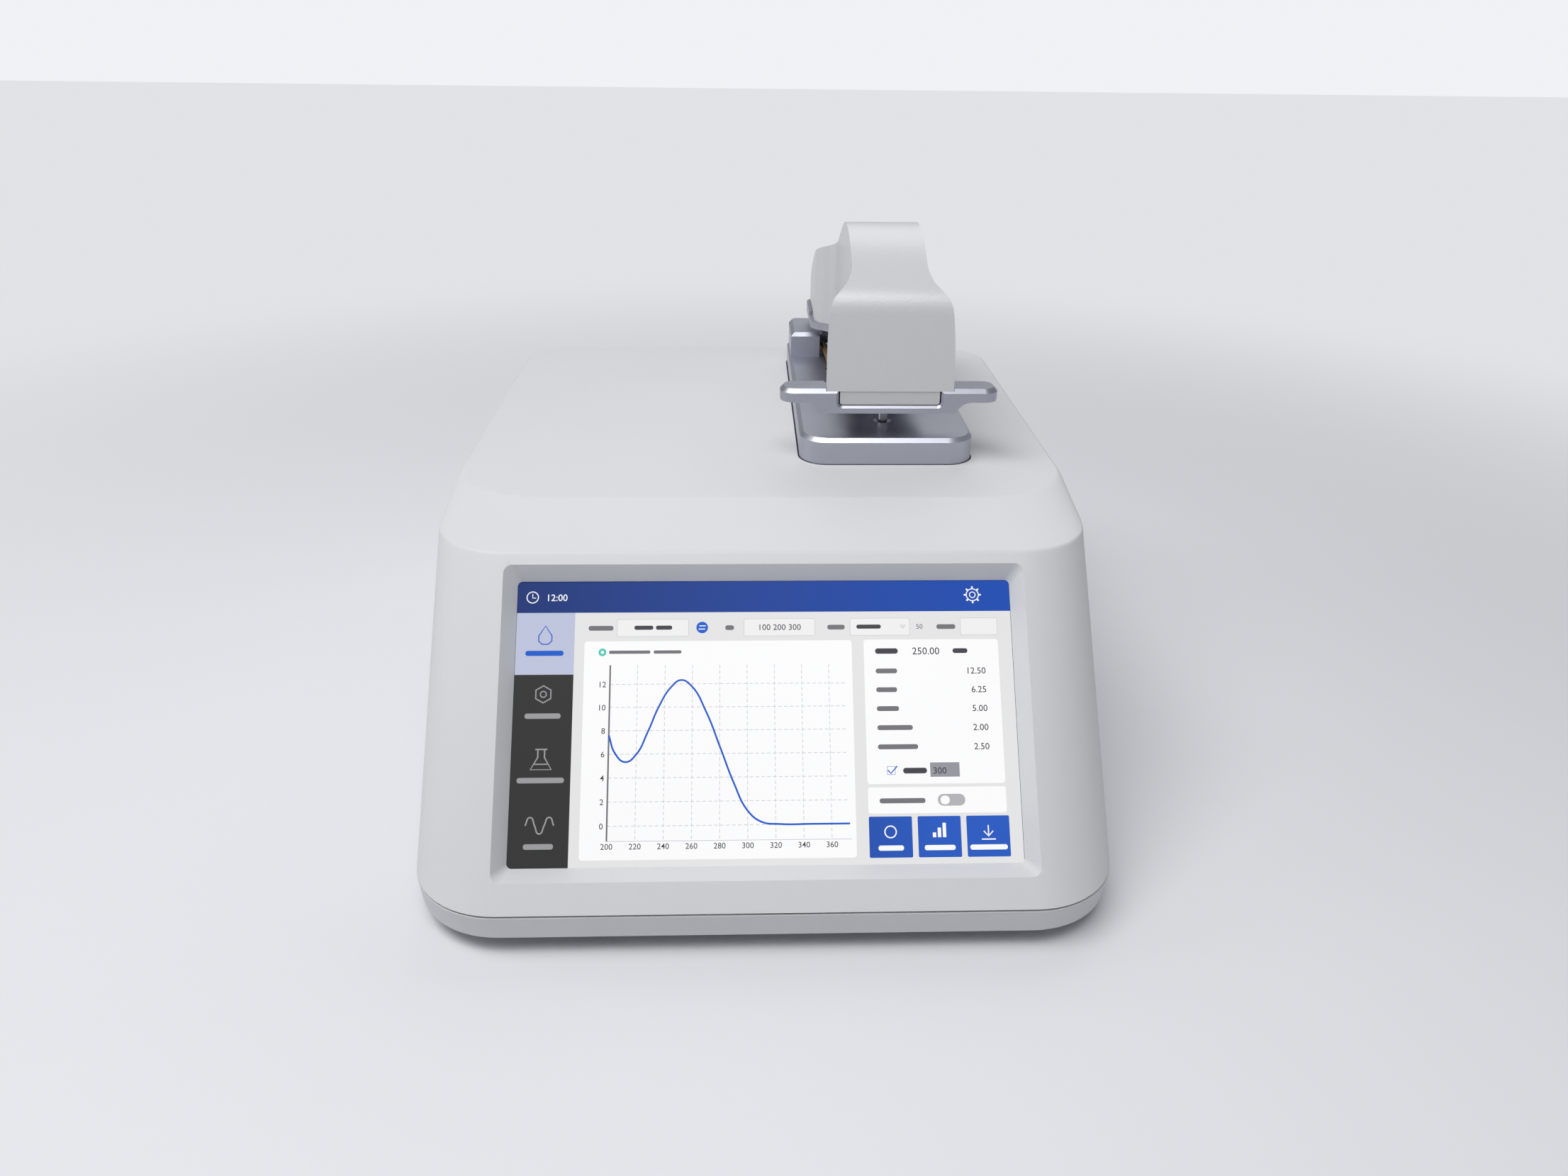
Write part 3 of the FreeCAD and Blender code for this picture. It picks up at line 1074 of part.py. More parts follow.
def make_close_sensor():
    board = box(PLINTH_X - 7, PLINTH_X + 7, SENSOR_Y - 4, SENSOR_Y + 4, POCKET_ROOF - 1.2, POCKET_ROOF)
    chip = box(PLINTH_X - 2, PLINTH_X + 2, SENSOR_Y - 1.5, SENSOR_Y + 1.5, POCKET_ROOF - 2.6,
               POCKET_ROOF - 1.2)
    PIECES["arm_sensor"] = solid_of(join([board, chip]))
    magnet = rod(PLINTH_X, SENSOR_Y, ARM_Z, ARM_Z + MAGNET_HEIGHT, MAGNET_DIA)
    PIECES["arm_magnet"] = magnet


MAGNET_DIA = 5.0
MAGNET_HEIGHT = 2.5


# ---------------------------------------------------------------- hinge
def make_hinge():
    names = {-1: "hinge_block_left", 1: "hinge_block_right"}
    back = EAR_FRONT + EAR_LENGTH
    outer_half = EAR_OUTER_SPAN / 2
    for side, name in names.items():
        outer_x = PLINTH_X + side * outer_half
        inner_x = PLINTH_X + side * (outer_half - EAR_WIDTH)
        block = box(min(outer_x, inner_x), max(outer_x, inner_x), EAR_FRONT, back, PLINTH_TOP, EAR_TOP)
        upright = edges_where(
            block, lambda p: near(p.x, outer_x) and near(p.y, back) and p.z > PLINTH_TOP + 1
        )
        block = block.makeFillet(EAR_CORNER_R, upright)
        outer_edges = edges_where(
            block, lambda p: near(p.z, EAR_TOP) and not near(p.x, inner_x)
        )
        block = block.makeChamfer(EAR_CHAMFER, outer_edges)
        block = block.cut(rod_x(HINGE_Y, HINGE_Z, PLINTH_X - 50, PLINTH_X + 50, SHAFT_DIA))
        cap_x = outer_x if side < 0 else outer_x - CAP_DEPTH
        block = block.cut(rod_x(HINGE_Y, HINGE_Z, cap_x - 0.001, cap_x + CAP_DEPTH + 0.001, CAP_DIA))
        for x, y in EAR_SCREWS:
            block = block.cut(rod(x, y, PLINTH_TOP - 1, PLINTH_TOP + 7, 2.6))
        block = block.cut(rod_y((outer_x + inner_x) / 2, HINGE_Z, HINGE_Y, back + 1, SET_SCREW_DIA))
        PIECES[name] = solid_of(block)

    shaft_half = outer_half - CAP_DEPTH
    PIECES["hinge_shaft"] = rod_x(HINGE_Y, HINGE_Z, PLINTH_X - shaft_half, PLINTH_X + shaft_half, SHAFT_DIA)
    caps = []
    set_screws = []
    for side in (-1, 1):
        start = PLINTH_X + side * outer_half - (CAP_DEPTH if side > 0 else 0)
        cap = rod_x(HINGE_Y, HINGE_Z, start, start + CAP_DEPTH, CAP_DIA)
        socket_start = start - 1 if side < 0 else start + CAP_DEPTH - 0.5
        socket = rod_x(HINGE_Y, HINGE_Z, socket_start, socket_start + 1.5, 2.0)
        caps.append(cap.cut(socket))
        x = PLINTH_X + side * (outer_half - EAR_WIDTH / 2)
        screw = rod_y(x, HINGE_Z, HINGE_Y + SHAFT_DIA / 2, back - 0.4, SET_SCREW_DIA)
        set_screws.append(screw.cut(rod_y(x, HINGE_Z, back - 1.8, back, 1.3)))
    PIECES["shaft_caps"] = group(caps)
    PIECES["hinge_set_screws"] = group(set_screws)

    washers = []
    knuckle_half = KNUCKLE_WIDTH / 2
    ear_inner = outer_half - EAR_WIDTH
    for side in (-1, 1):
        low = PLINTH_X + (knuckle_half + WASHER_PLAY if side > 0 else -ear_inner)
        high = PLINTH_X + (ear_inner if side > 0 else -knuckle_half - WASHER_PLAY)
        washer = rod_x(HINGE_Y, HINGE_Z, low, high, KNUCKLE_RADIUS * 2 - 1.2)
        washers.append(washer.cut(rod_x(HINGE_Y, HINGE_Z, low - 1, high + 1, SHAFT_DIA)))
    PIECES["friction_washers"] = group(washers)

    screws = []
    for x, y in EAR_SCREWS:
        screws.append(pan_screw(x, y, POCKET_ROOF, EAR_SCREW_HEAD, 2.5, 2.6, PLINTH_ROOF + 6, 1))
    PIECES["hinge_block_screws"] = group(screws)
    stop_y = HINGE_Y + KNUCKLE_RADIUS + 2.0
    PIECES["arm_stop_pad"] = slab(
        PLINTH_X, KNUCKLE_WIDTH / 2 - 5, stop_y, stop_y + STOP_LENGTH, 1.0, PLINTH_TOP,
        PLINTH_TOP + STOP_HEIGHT,
    )


CAP_DIA = 5.6
CAP_DEPTH = 1.2
SET_SCREW_DIA = 2.5
WASHER_PLAY = 0.05


def make_arm_lead():
    """Amber fibre jacket that climbs out of the plinth and turns into the left hinge block."""
    ear_x = PLINTH_X - EAR_OUTER_SPAN / 2 + EAR_WIDTH
    end_y = EAR_FRONT + 9.0
    PIECES["arm_lead"] = routed_tube(
        [
            (LEAD_X, LEAD_Y, POCKET_ROOF - 1),
            (LEAD_X, LEAD_Y, PLINTH_TOP + 2.0),
            (ear_x + 2.2, end_y, PLINTH_TOP + 3.6),
            (ear_x, end_y, PLINTH_TOP + 3.6),
        ],
        LEAD_BEND, FIBRE_DIA,
    )


# ---------------------------------------------------------------- arm
def s_bend(start, end, share=0.5):
    """Two arcs that step sideways between parallel runs along y. Points are (x, y).

    The first arc has this share of the two radii together.
    """
    dx = end[0] - start[0]
    dy = end[1] - start[1]
    both = (dx * dx + dy * dy) / (2 * abs(dx))
    side = math.copysign(1.0, dx)
    way = math.copysign(1.0, dy)
    turn = math.asin(abs(dy) / both)

    def along(point, radius, angle, sign):
        x = point[0] + sign * side * radius * (1 - math.cos(angle))
        return Vector(x, point[1] + sign * way * radius * math.sin(angle), 0)

    middle = along(start, share * both, turn, 1)
    return [
        Part.Arc(Vector(*start, 0), along(start, share * both, turn / 2, 1), middle).toShape(),
        Part.Arc(middle, along(end, (1 - share) * both, turn / 2, -1), Vector(*end, 0)).toShape(),
    ]


def hood_plan(grow=0.0, front=HOOD_FRONT):
    """Plan of the hood as a face at z = 0: wide front, slim waist, wide rear lobe."""
    wide = HOOD_WIDTH / 2 + grow
    lobe = HOOD_REAR_WIDTH / 2 + grow
    slim = HOOD_WAIST / 2 + grow
    y1 = HOOD_FRONT + HOOD_FRONT_STRAIGHT
    y2 = y1 + HOOD_FRONT_BEND
    y3 = HOOD_WAIST_END
    y4 = y3 + HOOD_REAR_BEND
    back = HOOD_BACK + grow
    radius = HOOD_REAR_R + grow
    x = PLINTH_X
    edges = []
    if front < y1:
        edges.append(Part.makeLine(Vector(x + wide, front, 0), Vector(x + wide, y1, 0)))
        edges += s_bend((x + wide, y1), (x + slim, y2), HOOD_BEND_SHARE)
        edges.append(Part.makeLine(Vector(x + slim, y2, 0), Vector(x + slim, y3, 0)))
    else:
        edges.append(Part.makeLine(Vector(x + slim, front, 0), Vector(x + slim, y3, 0)))
    edges += s_bend((x + slim, y3), (x + lobe, y4))
    edges.append(Part.makeLine(Vector(x + lobe, y4, 0), Vector(x + lobe, back - radius, 0)))
    edges.append(corner_arc(x + lobe - radius, back - radius, radius, 0, 0))
    edges.append(Part.makeLine(Vector(x + lobe - radius, back, 0), Vector(x - lobe + radius, back, 0)))
    edges.append(corner_arc(x - lobe + radius, back - radius, radius, 90, 0))
    edges.append(Part.makeLine(Vector(x - lobe, back - radius, 0), Vector(x - lobe, y4, 0)))
    edges += s_bend((x - lobe, y4), (x - slim, y3))
    if front < y1:
        edges.append(Part.makeLine(Vector(x - slim, y3, 0), Vector(x - slim, y2, 0)))
        edges += s_bend((x - slim, y2), (x - wide, y1), 1 - HOOD_BEND_SHARE)
        edges.append(Part.makeLine(Vector(x - wide, y1, 0), Vector(x - wide, front, 0)))
        edges.append(Part.makeLine(Vector(x - wide, front, 0), Vector(x + wide, front, 0)))
    else:
        edges.append(Part.makeLine(Vector(x - slim, y3, 0), Vector(x - slim, front, 0)))
        edges.append(Part.makeLine(Vector(x - slim, front, 0), Vector(x + slim, front, 0)))
    return Part.Face(Part.Wire(Part.__sortEdges__(edges)))


def raised(face, z0, z1):
    lifted = face.copy()
    lifted.translate(Vector(0, 0, z0))
    return lifted.extrude(Vector(0, 0, z1 - z0))


def hood_profile(inset, bottom):
    """Side outline of the hood in the plane x = 0: leaning front, round shoulder, long falling back.

    All of it moves inwards by inset, and it is closed along bottom.
    """
    crest = HOOD_Z + CREST_HEIGHT
    lean = math.atan2(HOOD_LEAN_RISE, HOOD_LEAN_RUN)
    inwards = Vector(0, math.sin(lean), -math.cos(lean))
    front_edge = Vector(0, HOOD_FRONT, HOOD_Z) + inwards * inset
    shoulder = Vector(0, HOOD_FRONT + HOOD_LEAN_RUN, HOOD_Z + HOOD_LEAN_RISE)
    centre = shoulder + inwards * SHOULDER_R
    radius = SHOULDER_R - inset
    turn = math.radians(SHOULDER_TURN)

    def on_shoulder(turned_by):
        angle = lean + math.pi / 2 - turned_by
        return centre + Vector(0, radius * math.cos(angle), radius * math.sin(angle))

    curve = Part.BSplineCurve()
    start = on_shoulder(turn) + (on_shoulder(turn) - centre).normalize() * inset
    stretch = (HOOD_BACK - HOOD_FRONT) / HOOD_CURVE_LENGTH
    outer = [start] + [Vector(0, HOOD_FRONT + run * stretch, crest - fall) for run, fall in HOOD_BACK_CURVE]
    curve.interpolate(outer)
    if inset > 0:
        moved = []
        for point in outer:
            along = curve.tangent(curve.parameter(point))[0]
            moved.append(point + Vector(0, along.z, -along.y) * inset)
        moved[0] = on_shoulder(turn)
        curve = Part.BSplineCurve()
        curve.interpolate(moved)
    rear_top = curve.EndPoint
    rear_low = Vector(0, HOOD_BACK - inset, bottom)
    edges = [
        Part.makeLine(front_edge, on_shoulder(0)),
        Part.Arc(on_shoulder(0), on_shoulder(turn / 2), on_shoulder(turn)).toShape(),
        curve.toShape(),
        Part.makeLine(rear_top, rear_low),
    ]
    front_low = front_edge
    if inset > 0:
        front_low = Vector(0, front_edge.y, bottom)
        edges.append(Part.makeLine(front_low, front_edge))
    edges.append(Part.makeLine(rear_low, front_low))
    return Part.Face(Part.Wire(Part.__sortEdges__(edges)))


HOOD_BOSS_DIA = 6.0
HOOD_BOSS_HEIGHT = 8.0
HOOD_SCREW_SEAT = 1.2        # the heads sit this far up inside the chassis
HOOD_BOSSES = [              # x, y, underside and top of the chassis there
    (PLINTH_X + side * (width / 2 - HOOD_WALL - 2.0), y, low, high)
    for side in (-1, 1)
    for width, y, low, high in (
        (HOOD_WAIST, HANDLE_BACK + 22.8, ARM_Z, HOOD_Z),
        (HOOD_REAR_WIDTH, HINGE_Y - 15.0, LOBE_BASE, LOBE_TOP),
    )
]


def make_arm_hood():
    x0 = PLINTH_X - HOOD_WIDTH
    side = hood_profile(0, HOOD_Z)
    side.translate(Vector(x0, 0, 0))
    outer = side.extrude(Vector(2 * HOOD_WIDTH, 0, 0)).common(raised(hood_plan(), HOOD_Z, HOOD_Z + 80))
    outer = solid_of(outer)
    inner_side = hood_profile(HOOD_WALL, HOOD_Z - 5)
    inner_side.translate(Vector(x0, 0, 0))
    inner = inner_side.extrude(Vector(2 * HOOD_WIDTH, 0, 0))
    inner = inner.common(raised(hood_plan(-HOOD_WALL, HOOD_FRONT + HOOD_WALL), HOOD_Z - 20, HOOD_Z + 80))
    hood = outer.cut(inner)
    additions = []
    notch_half = NOTCH_WIDTH / 2 - TONGUE_CLEARANCE
    floor = WING_TOP - NOTCH_DEPTH + 0.3
    tongue = box(
        PLINTH_X - notch_half, PLINTH_X + notch_half, HOOD_FRONT + TONGUE_SETBACK,
        HANDLE_BACK - TONGUE_CLEARANCE, floor, HOOD_Z + 1,
    )
    low_corners = edges_where(tongue, lambda p: near(p.z, floor) and near(abs(p.x - PLINTH_X), notch_half))
    additions.append(tongue.makeFillet(NOTCH_CORNER_R - TONGUE_CLEARANCE, low_corners))
    cover = box(
        PLINTH_X - notch_half, PLINTH_X + notch_half, HOOD_FRONT + 1, HANDLE_BACK - TONGUE_CLEARANCE,
        HOOD_Z - 1, HOOD_Z + 3,
    )
    additions.append(cover.common(outer))
    for x, y, _, high in HOOD_BOSSES:
        additions.append(rod(x, y, high, high + HOOD_BOSS_HEIGHT, HOOD_BOSS_DIA).common(outer))
    hood = join([hood] + additions)
    step = box(
        PLINTH_X - HOOD_WIDTH, PLINTH_X + HOOD_WIDTH, LOBE_FRONT - FIT, HOOD_BACK + 1, HOOD_Z - 1, LOBE_TOP
    )
    hood = hood.cut(step)
    for x, y, _, high in HOOD_BOSSES:
        hood = hood.cut(rod(x, y, high - 1, high + HOOD_BOSS_HEIGHT - 2, 2.0))
    PIECES["arm_hood"] = solid_of(hood)


def make_arm_chassis():
    """Machined arm: slim plate, wider raised rear with a small upstand, and the hinge knuckle."""
    reach = HOOD_WIDTH
    plate = raised(hood_plan(PLATE_OUTSET, HANDLE_BACK), ARM_Z, HOOD_Z)
    plate = plate.common(box(PLINTH_X - reach, PLINTH_X + reach, HANDLE_BACK, LOBE_FRONT, ARM_Z, HOOD_Z))
    lobe_plan = hood_plan(REAR_RIM_THICKNESS + FIT, HANDLE_BACK)
    lobe = raised(lobe_plan, LOBE_BASE, LOBE_TOP)
    lobe = lobe.common(
        box(PLINTH_X - reach, PLINTH_X + reach, LOBE_FRONT, HOOD_BACK + 5, LOBE_BASE, LOBE_TOP)
    )
    rim = raised(lobe_plan, LOBE_TOP, LOBE_TOP + REAR_RIM_HEIGHT)
    rim = rim.cut(raised(hood_plan(FIT, HANDLE_BACK), LOBE_TOP - 1, LOBE_TOP + 20))
    rim = rim.common(
        box(PLINTH_X - reach, PLINTH_X + reach, RIM_START, HOOD_BACK + 5, LOBE_TOP, LOBE_TOP + 20)
    )
    half = KNUCKLE_WIDTH / 2
    leg_front = HINGE_Y - KNUCKLE_RADIUS
    leg_back = HINGE_Y + KNUCKLE_RADIUS
    slim = HOOD_WAIST / 2 + PLATE_OUTSET
    spine = box(PLINTH_X - slim, PLINTH_X + slim, LOBE_FRONT, leg_back, ARM_Z, LOBE_TOP)
    leg = box(PLINTH_X - half, PLINTH_X + half, leg_front, leg_back, HINGE_Z, LOBE_TOP)
    knuckle = rod_x(HINGE_Y, HINGE_Z, PLINTH_X - half, PLINTH_X + half, KNUCKLE_RADIUS * 2)
    chassis = join([plate, lobe, rim, spine, leg, knuckle])
    bush_dia = SHAFT_DIA + 2 * (SHAFT_FIT + BUSH_WALL)
    cuts = [rod_x(HINGE_Y, HINGE_Z, PLINTH_X - half - 1, PLINTH_X + half + 1, bush_dia)]
    cuts.append(rod(PLINTH_X, PEDESTAL_Y, ARM_Z - 1, HOOD_Z + 1, PEDESTAL_STEM_DIA - 2))
    cuts.append(rod(PLINTH_X, SENSOR_Y, ARM_Z - 1, ARM_Z + MAGNET_HEIGHT, MAGNET_DIA))
    cuts.append(rod(PLINTH_X, FIBRE_EXIT_Y, ARM_Z - 1, LOBE_TOP + 1, GLAND_DIA - 2))
    for x, y, low, high in HOOD_BOSSES:
        cuts.append(rod(x, y, low - 1, high + 1, 2.8))
        cuts.append(rod(x, y, low - 1, low + HOOD_SCREW_SEAT, 4.6))
    for x, y in LEDGE_SCREWS:
        cuts.append(rod(x, y, ARM_Z - 1, ARM_Z + 3.0, 2.2))
    cuts.append(rod(PLINTH_X, PIN_Y, ARM_Z - 1, ARM_Z + 2.0, PIN_DIA))
    for cut in cuts:
        chassis = chassis.cut(cut)
    PIECES["arm_chassis"] = solid_of(chassis)

    bushes = []
    for side in (-1, 1):
        start = PLINTH_X + (half - BUSH_LENGTH if side > 0 else -half)
        bush = rod_x(HINGE_Y, HINGE_Z, start, start + BUSH_LENGTH, bush_dia)
        bore = rod_x(HINGE_Y, HINGE_Z, start - 1, start + BUSH_LENGTH + 1, SHAFT_DIA + 2 * SHAFT_FIT)
        bushes.append(bush.cut(bore))
    PIECES["hinge_bushes"] = group(bushes)
    screws = [
        pan_screw(x, y, low + HOOD_SCREW_SEAT, 4.4, HOOD_SCREW_SEAT, 2.0, 7.0, 1) for x, y, low, _ in HOOD_BOSSES
    ]
    PIECES["hood_screws"] = group(screws)


FIBRE_EXIT_Y = HINGE_Y - 29.0
GLAND_DIA = 6.4
LEDGE_SCREWS = [(PLINTH_X + side * 8.5, PIN_Y) for side in (-1, 1)]


def make_handle():
    """Finger bar across the front of the arm: two wings, a deeper middle and a notch for the hood."""
    half = HANDLE_WIDTH / 2
    middle = HANDLE_MIDDLE_WIDTH / 2
    cove_run = math.sqrt(2 * HANDLE_COVE_R * HANDLE_DROP - HANDLE_DROP * HANDLE_DROP)
    cove_start = middle + cove_run
    cove_angle = math.acos(1 - HANDLE_DROP / HANDLE_COVE_R) / 2
    notch = NOTCH_WIDTH / 2
    floor = WING_TOP - NOTCH_DEPTH
    y = HANDLE_FRONT

    def point(x, z):
        return Vector(PLINTH_X + x, y, z)

    def cove(side):
        via_x = cove_start - HANDLE_COVE_R * math.sin(cove_angle)
        via_z = ARM_Z - HANDLE_COVE_R * (1 - math.cos(cove_angle))
        return Part.Arc(
            point(side * cove_start, ARM_Z), point(side * via_x, via_z), point(side * middle, LEDGE_Z)
        ).toShape()

    edges = [
        cove(-1),
        Part.makeLine(point(-middle, LEDGE_Z), point(middle, LEDGE_Z)),
        cove(1),
        Part.makeLine(point(cove_start, ARM_Z), point(half, ARM_Z)),
        Part.makeLine(point(half, ARM_Z), point(half, WING_TOP)),
        Part.makeLine(point(half, WING_TOP), point(notch, WING_TOP)),
        Part.makeLine(point(notch, WING_TOP), point(notch, floor)),
        Part.makeLine(point(notch, floor), point(-notch, floor)),
        Part.makeLine(point(-notch, floor), point(-notch, WING_TOP)),
        Part.makeLine(point(-notch, WING_TOP), point(-half, WING_TOP)),
        Part.makeLine(point(-half, WING_TOP), point(-half, ARM_Z)),
        Part.makeLine(point(-half, ARM_Z), point(-cove_start, ARM_Z)),
    ]
    bar = Part.Face(Part.Wire(Part.__sortEdges__(edges))).extrude(Vector(0, HANDLE_DEPTH, 0))
    tips = edges_where(
        bar, lambda p: near(abs(p.x - PLINTH_X), half) and ARM_Z + 0.5 < p.z < WING_TOP - 0.5
    )
    bar = bar.makeFillet(HANDLE_TIP_R, tips)
    notch_corners = edges_where(
        bar, lambda p: near(p.z, floor) and near(abs(p.x - PLINTH_X), notch)
    )
    bar = bar.makeFillet(NOTCH_CORNER_R, notch_corners)
    front_reach = HANDLE_FRONT + HANDLE_TIP_R
    top_front = edges_where(
        bar,
        lambda p: near(p.z, WING_TOP) and p.y < front_reach - 0.5 and abs(p.x - PLINTH_X) > notch + 0.5,
    )
    bar = bar.makeChamfer(HANDLE_CHAMFER, top_front)
    floor_front = edges_where(
        bar, lambda p: near(p.z, floor) and near(p.y, HANDLE_FRONT) and near(p.x, PLINTH_X)
    )
    bar = bar.makeChamfer(NOTCH_CHAMFER, floor_front)
    seat_half = HOOD_WIDTH / 2 + FIT
    seat_front = HOOD_FRONT - FIT
    bar = bar.cut(
        box(PLINTH_X - seat_half, PLINTH_X + seat_half, seat_front, HANDLE_BACK + 1, HOOD_Z, WING_TOP + 1)
    )
    ledge = slab(
        PLINTH_X, LEDGE_WIDTH / 2, HANDLE_BACK - 4, HANDLE_BACK + LEDGE_LENGTH, 3.0, LEDGE_Z, ARM_Z
    )
    bar = join([bar, ledge])
    bar = bar.cut(box(PLINTH_X - notch, PLINTH_X + notch, HANDLE_BACK - 5, HANDLE_BACK, floor, WING_TOP))
    bar = bar.cut(rod(PLINTH_X, PIN_Y, LEDGE_Z - 1, ARM_Z + 1, PIN_DIA))
    for x, screw_y in LEDGE_SCREWS:
        bar = bar.cut(rod(x, screw_y, LEDGE_Z - 1, ARM_Z + 1, 2.4))
        bar = bar.cut(rod(x, screw_y, LEDGE_Z - 1, LEDGE_Z + 1.7, 4.6))
    PIECES["arm_handle"] = solid_of(bar)
    screws = [pan_screw(x, sy, LEDGE_Z + 1.7, 4.4, 1.6, 2.2, 5.0, 1) for x, sy in LEDGE_SCREWS]
    PIECES["handle_screws"] = group(screws)

    tip = PLINTH_TOP - PIN_TIP_DEPTH
    radius = PIN_DIA / 2
    PIECES["locating_pin"] = turned(
        PLINTH_X, PIN_Y,
        [(0, tip), (radius - 0.7, tip), (radius, tip + 0.7), (radius, ARM_Z + 2.0), (0, ARM_Z + 2.0)],
    )


def make_arm_fibre():
    """Fibre that rises from the upper pedestal, loops under the crest and runs down to the hinge."""
    crest = HOOD_Z + CREST_HEIGHT
    fibre = routed_tube(
        [
            (PLINTH_X, PEDESTAL_Y, HOOD_Z + 4.0),
            (PLINTH_X, PEDESTAL_Y, crest - 15),
            (PLINTH_X, FIBRE_EXIT_Y, crest - 36),
            (PLINTH_X, FIBRE_EXIT_Y, ARM_Z + 1.0),
        ],
        FIBRE_BEND, FIBRE_DIA,
    )
    PIECES["arm_fibre"] = fibre
    gland = turned(
        PLINTH_X, FIBRE_EXIT_Y,
        [(FIBRE_DIA / 2, ARM_Z), (GLAND_DIA / 2 - 1, ARM_Z), (GLAND_DIA / 2 - 1, LOBE_TOP),
         (GLAND_DIA / 2, LOBE_TOP), (GLAND_DIA / 2, LOBE_TOP + 1.4), (FIBRE_DIA / 2, LOBE_TOP + 1.4)],
    )
    PIECES["fibre_gland"] = gland


# ---------------------------------------------------------------- build and export
def build():
    make_upper_housing()
    make_bottom_shell()
    make_feet()
    make_housing_screws()
    make_display()
    make_display_ribbon()
    make_main_board()
    make_power_board()
    make_rear_panel()
    make_power_rocker()
    make_spectrometer()
    make_lamp()
    make_internal_fibres()
    make_optics_frame()
    make_plinth()
    make_pedestals()
    make_path_drive()
    make_close_sensor()
    make_hinge()
    make_arm_lead()
    make_arm_hood()
    make_arm_chassis()
    make_handle()
    make_arm_fibre()


def export():
    os.makedirs("parts", exist_ok=True)
    for name, shape in PIECES.items():
        moved = shape.copy()
        moved.translate(Vector(0, -BODY_DEPTH / 2, 0))
        moved.exportStep("parts/" + name + ".step")


build()
export()
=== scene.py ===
import math

import bmesh
import bpy
from mathutils import Matrix, Vector


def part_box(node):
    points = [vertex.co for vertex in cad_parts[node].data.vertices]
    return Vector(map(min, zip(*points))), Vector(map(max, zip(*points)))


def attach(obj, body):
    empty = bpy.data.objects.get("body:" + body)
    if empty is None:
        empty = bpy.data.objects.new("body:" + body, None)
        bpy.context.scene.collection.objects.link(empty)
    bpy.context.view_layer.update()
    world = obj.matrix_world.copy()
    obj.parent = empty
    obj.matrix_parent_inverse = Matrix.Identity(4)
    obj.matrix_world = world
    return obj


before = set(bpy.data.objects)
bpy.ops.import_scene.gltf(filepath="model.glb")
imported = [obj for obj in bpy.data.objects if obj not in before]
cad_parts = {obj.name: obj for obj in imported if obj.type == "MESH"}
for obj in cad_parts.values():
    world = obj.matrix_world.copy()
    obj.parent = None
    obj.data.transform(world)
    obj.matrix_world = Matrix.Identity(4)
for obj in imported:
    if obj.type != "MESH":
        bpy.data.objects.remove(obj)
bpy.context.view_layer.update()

# ------------------------------------------------------------------ bench, light and camera
# A pale bench top and a bright, even studio. The camera looks down over the front of the
# instrument from a little left of its middle.
CAMERA_PLACE = (-0.006861, -0.40697, 0.24758)
CAMERA_YAW = 0.0387
CAMERA_PITCH = 0.4570
CAMERA_ROLL = -0.0132
CAMERA_LENS = 27.03
CAMERA_SENSOR = 36
CAMERA_NEAR = 0.01
BENCH_COLOUR = (0.74, 0.75, 0.775, 1)
BACKDROP_COLOUR = (0.87, 0.885, 0.905, 1)
AMBIENT_COLOUR = (0.90, 0.95, 1.03, 1)
AMBIENT_STRENGTH = 0.24
SKY_IN_METAL = 0.15
BENCH_FAR_COLOUR = (0.76, 0.765, 0.785, 1)
BENCH_ROUGHNESS = 0.55
BENCH_REACH = 4
BENCH_FADE_START = 0.30
BENCH_FADE_END = 0.85
LAMP_WHITE = (1.0, 0.995, 0.985)
INSTRUMENT_MIDDLE = (0, 0, 0.08)

forward = Vector((
    math.sin(CAMERA_YAW) * math.cos(CAMERA_PITCH),
    math.cos(CAMERA_YAW) * math.cos(CAMERA_PITCH),
    -math.sin(CAMERA_PITCH),
))
level_right = Vector((math.cos(CAMERA_YAW), -math.sin(CAMERA_YAW), 0))
level_down = forward.cross(level_right)
image_right = math.cos(CAMERA_ROLL) * level_right + math.sin(CAMERA_ROLL) * level_down
image_down = math.cos(CAMERA_ROLL) * level_down - math.sin(CAMERA_ROLL) * level_right
camera_data = bpy.data.cameras.new("camera")
camera_data.lens = CAMERA_LENS
camera_data.sensor_width = CAMERA_SENSOR
camera_data.sensor_fit = "HORIZONTAL"
camera_data.clip_start = CAMERA_NEAR
camera = bpy.data.objects.new("camera", camera_data)
bpy.context.scene.collection.objects.link(camera)
camera.matrix_world = Matrix.Translation(CAMERA_PLACE) @ Matrix((
    (image_right.x, -image_down.x, -forward.x, 0),
    (image_right.y, -image_down.y, -forward.y, 0),
    (image_right.z, -image_down.z, -forward.z, 0),
    (0, 0, 0, 1),
))
bpy.context.scene.camera = camera
bpy.context.scene.view_settings.view_transform = "Standard"


def soft_box(name, place, aim, size, power, colour=(1, 1, 1)):
    """Rectangular lamp; size is its width and height in metres, power is in watts."""
    lamp = bpy.data.lights.new(name, "AREA")
    lamp.shape = "RECTANGLE"
    lamp.size, lamp.size_y = size
    lamp.energy = power
    lamp.color = colour
    holder = bpy.data.objects.new(name, lamp)
    holder.location = place
    holder.rotation_euler = (Vector(aim) - Vector(place)).to_track_quat("-Z", "Y").to_euler()
    bpy.context.scene.collection.objects.link(holder)


soft_box(
    "overhead_light", place=(-0.30, -0.40, 1.15), aim=(0.02, 0, 0.08), size=(1.3, 0.6), power=12.5,
    colour=LAMP_WHITE,
)
soft_box(
    "back_light", place=(0.2, 0.9, 1.0), aim=INSTRUMENT_MIDDLE, size=(1.2, 0.6), power=3.0,
    colour=LAMP_WHITE,
)
soft_box(
    "left_light", place=(-1.2, 0.1, 0.6), aim=INSTRUMENT_MIDDLE, size=(0.6, 0.8), power=1.8,
)

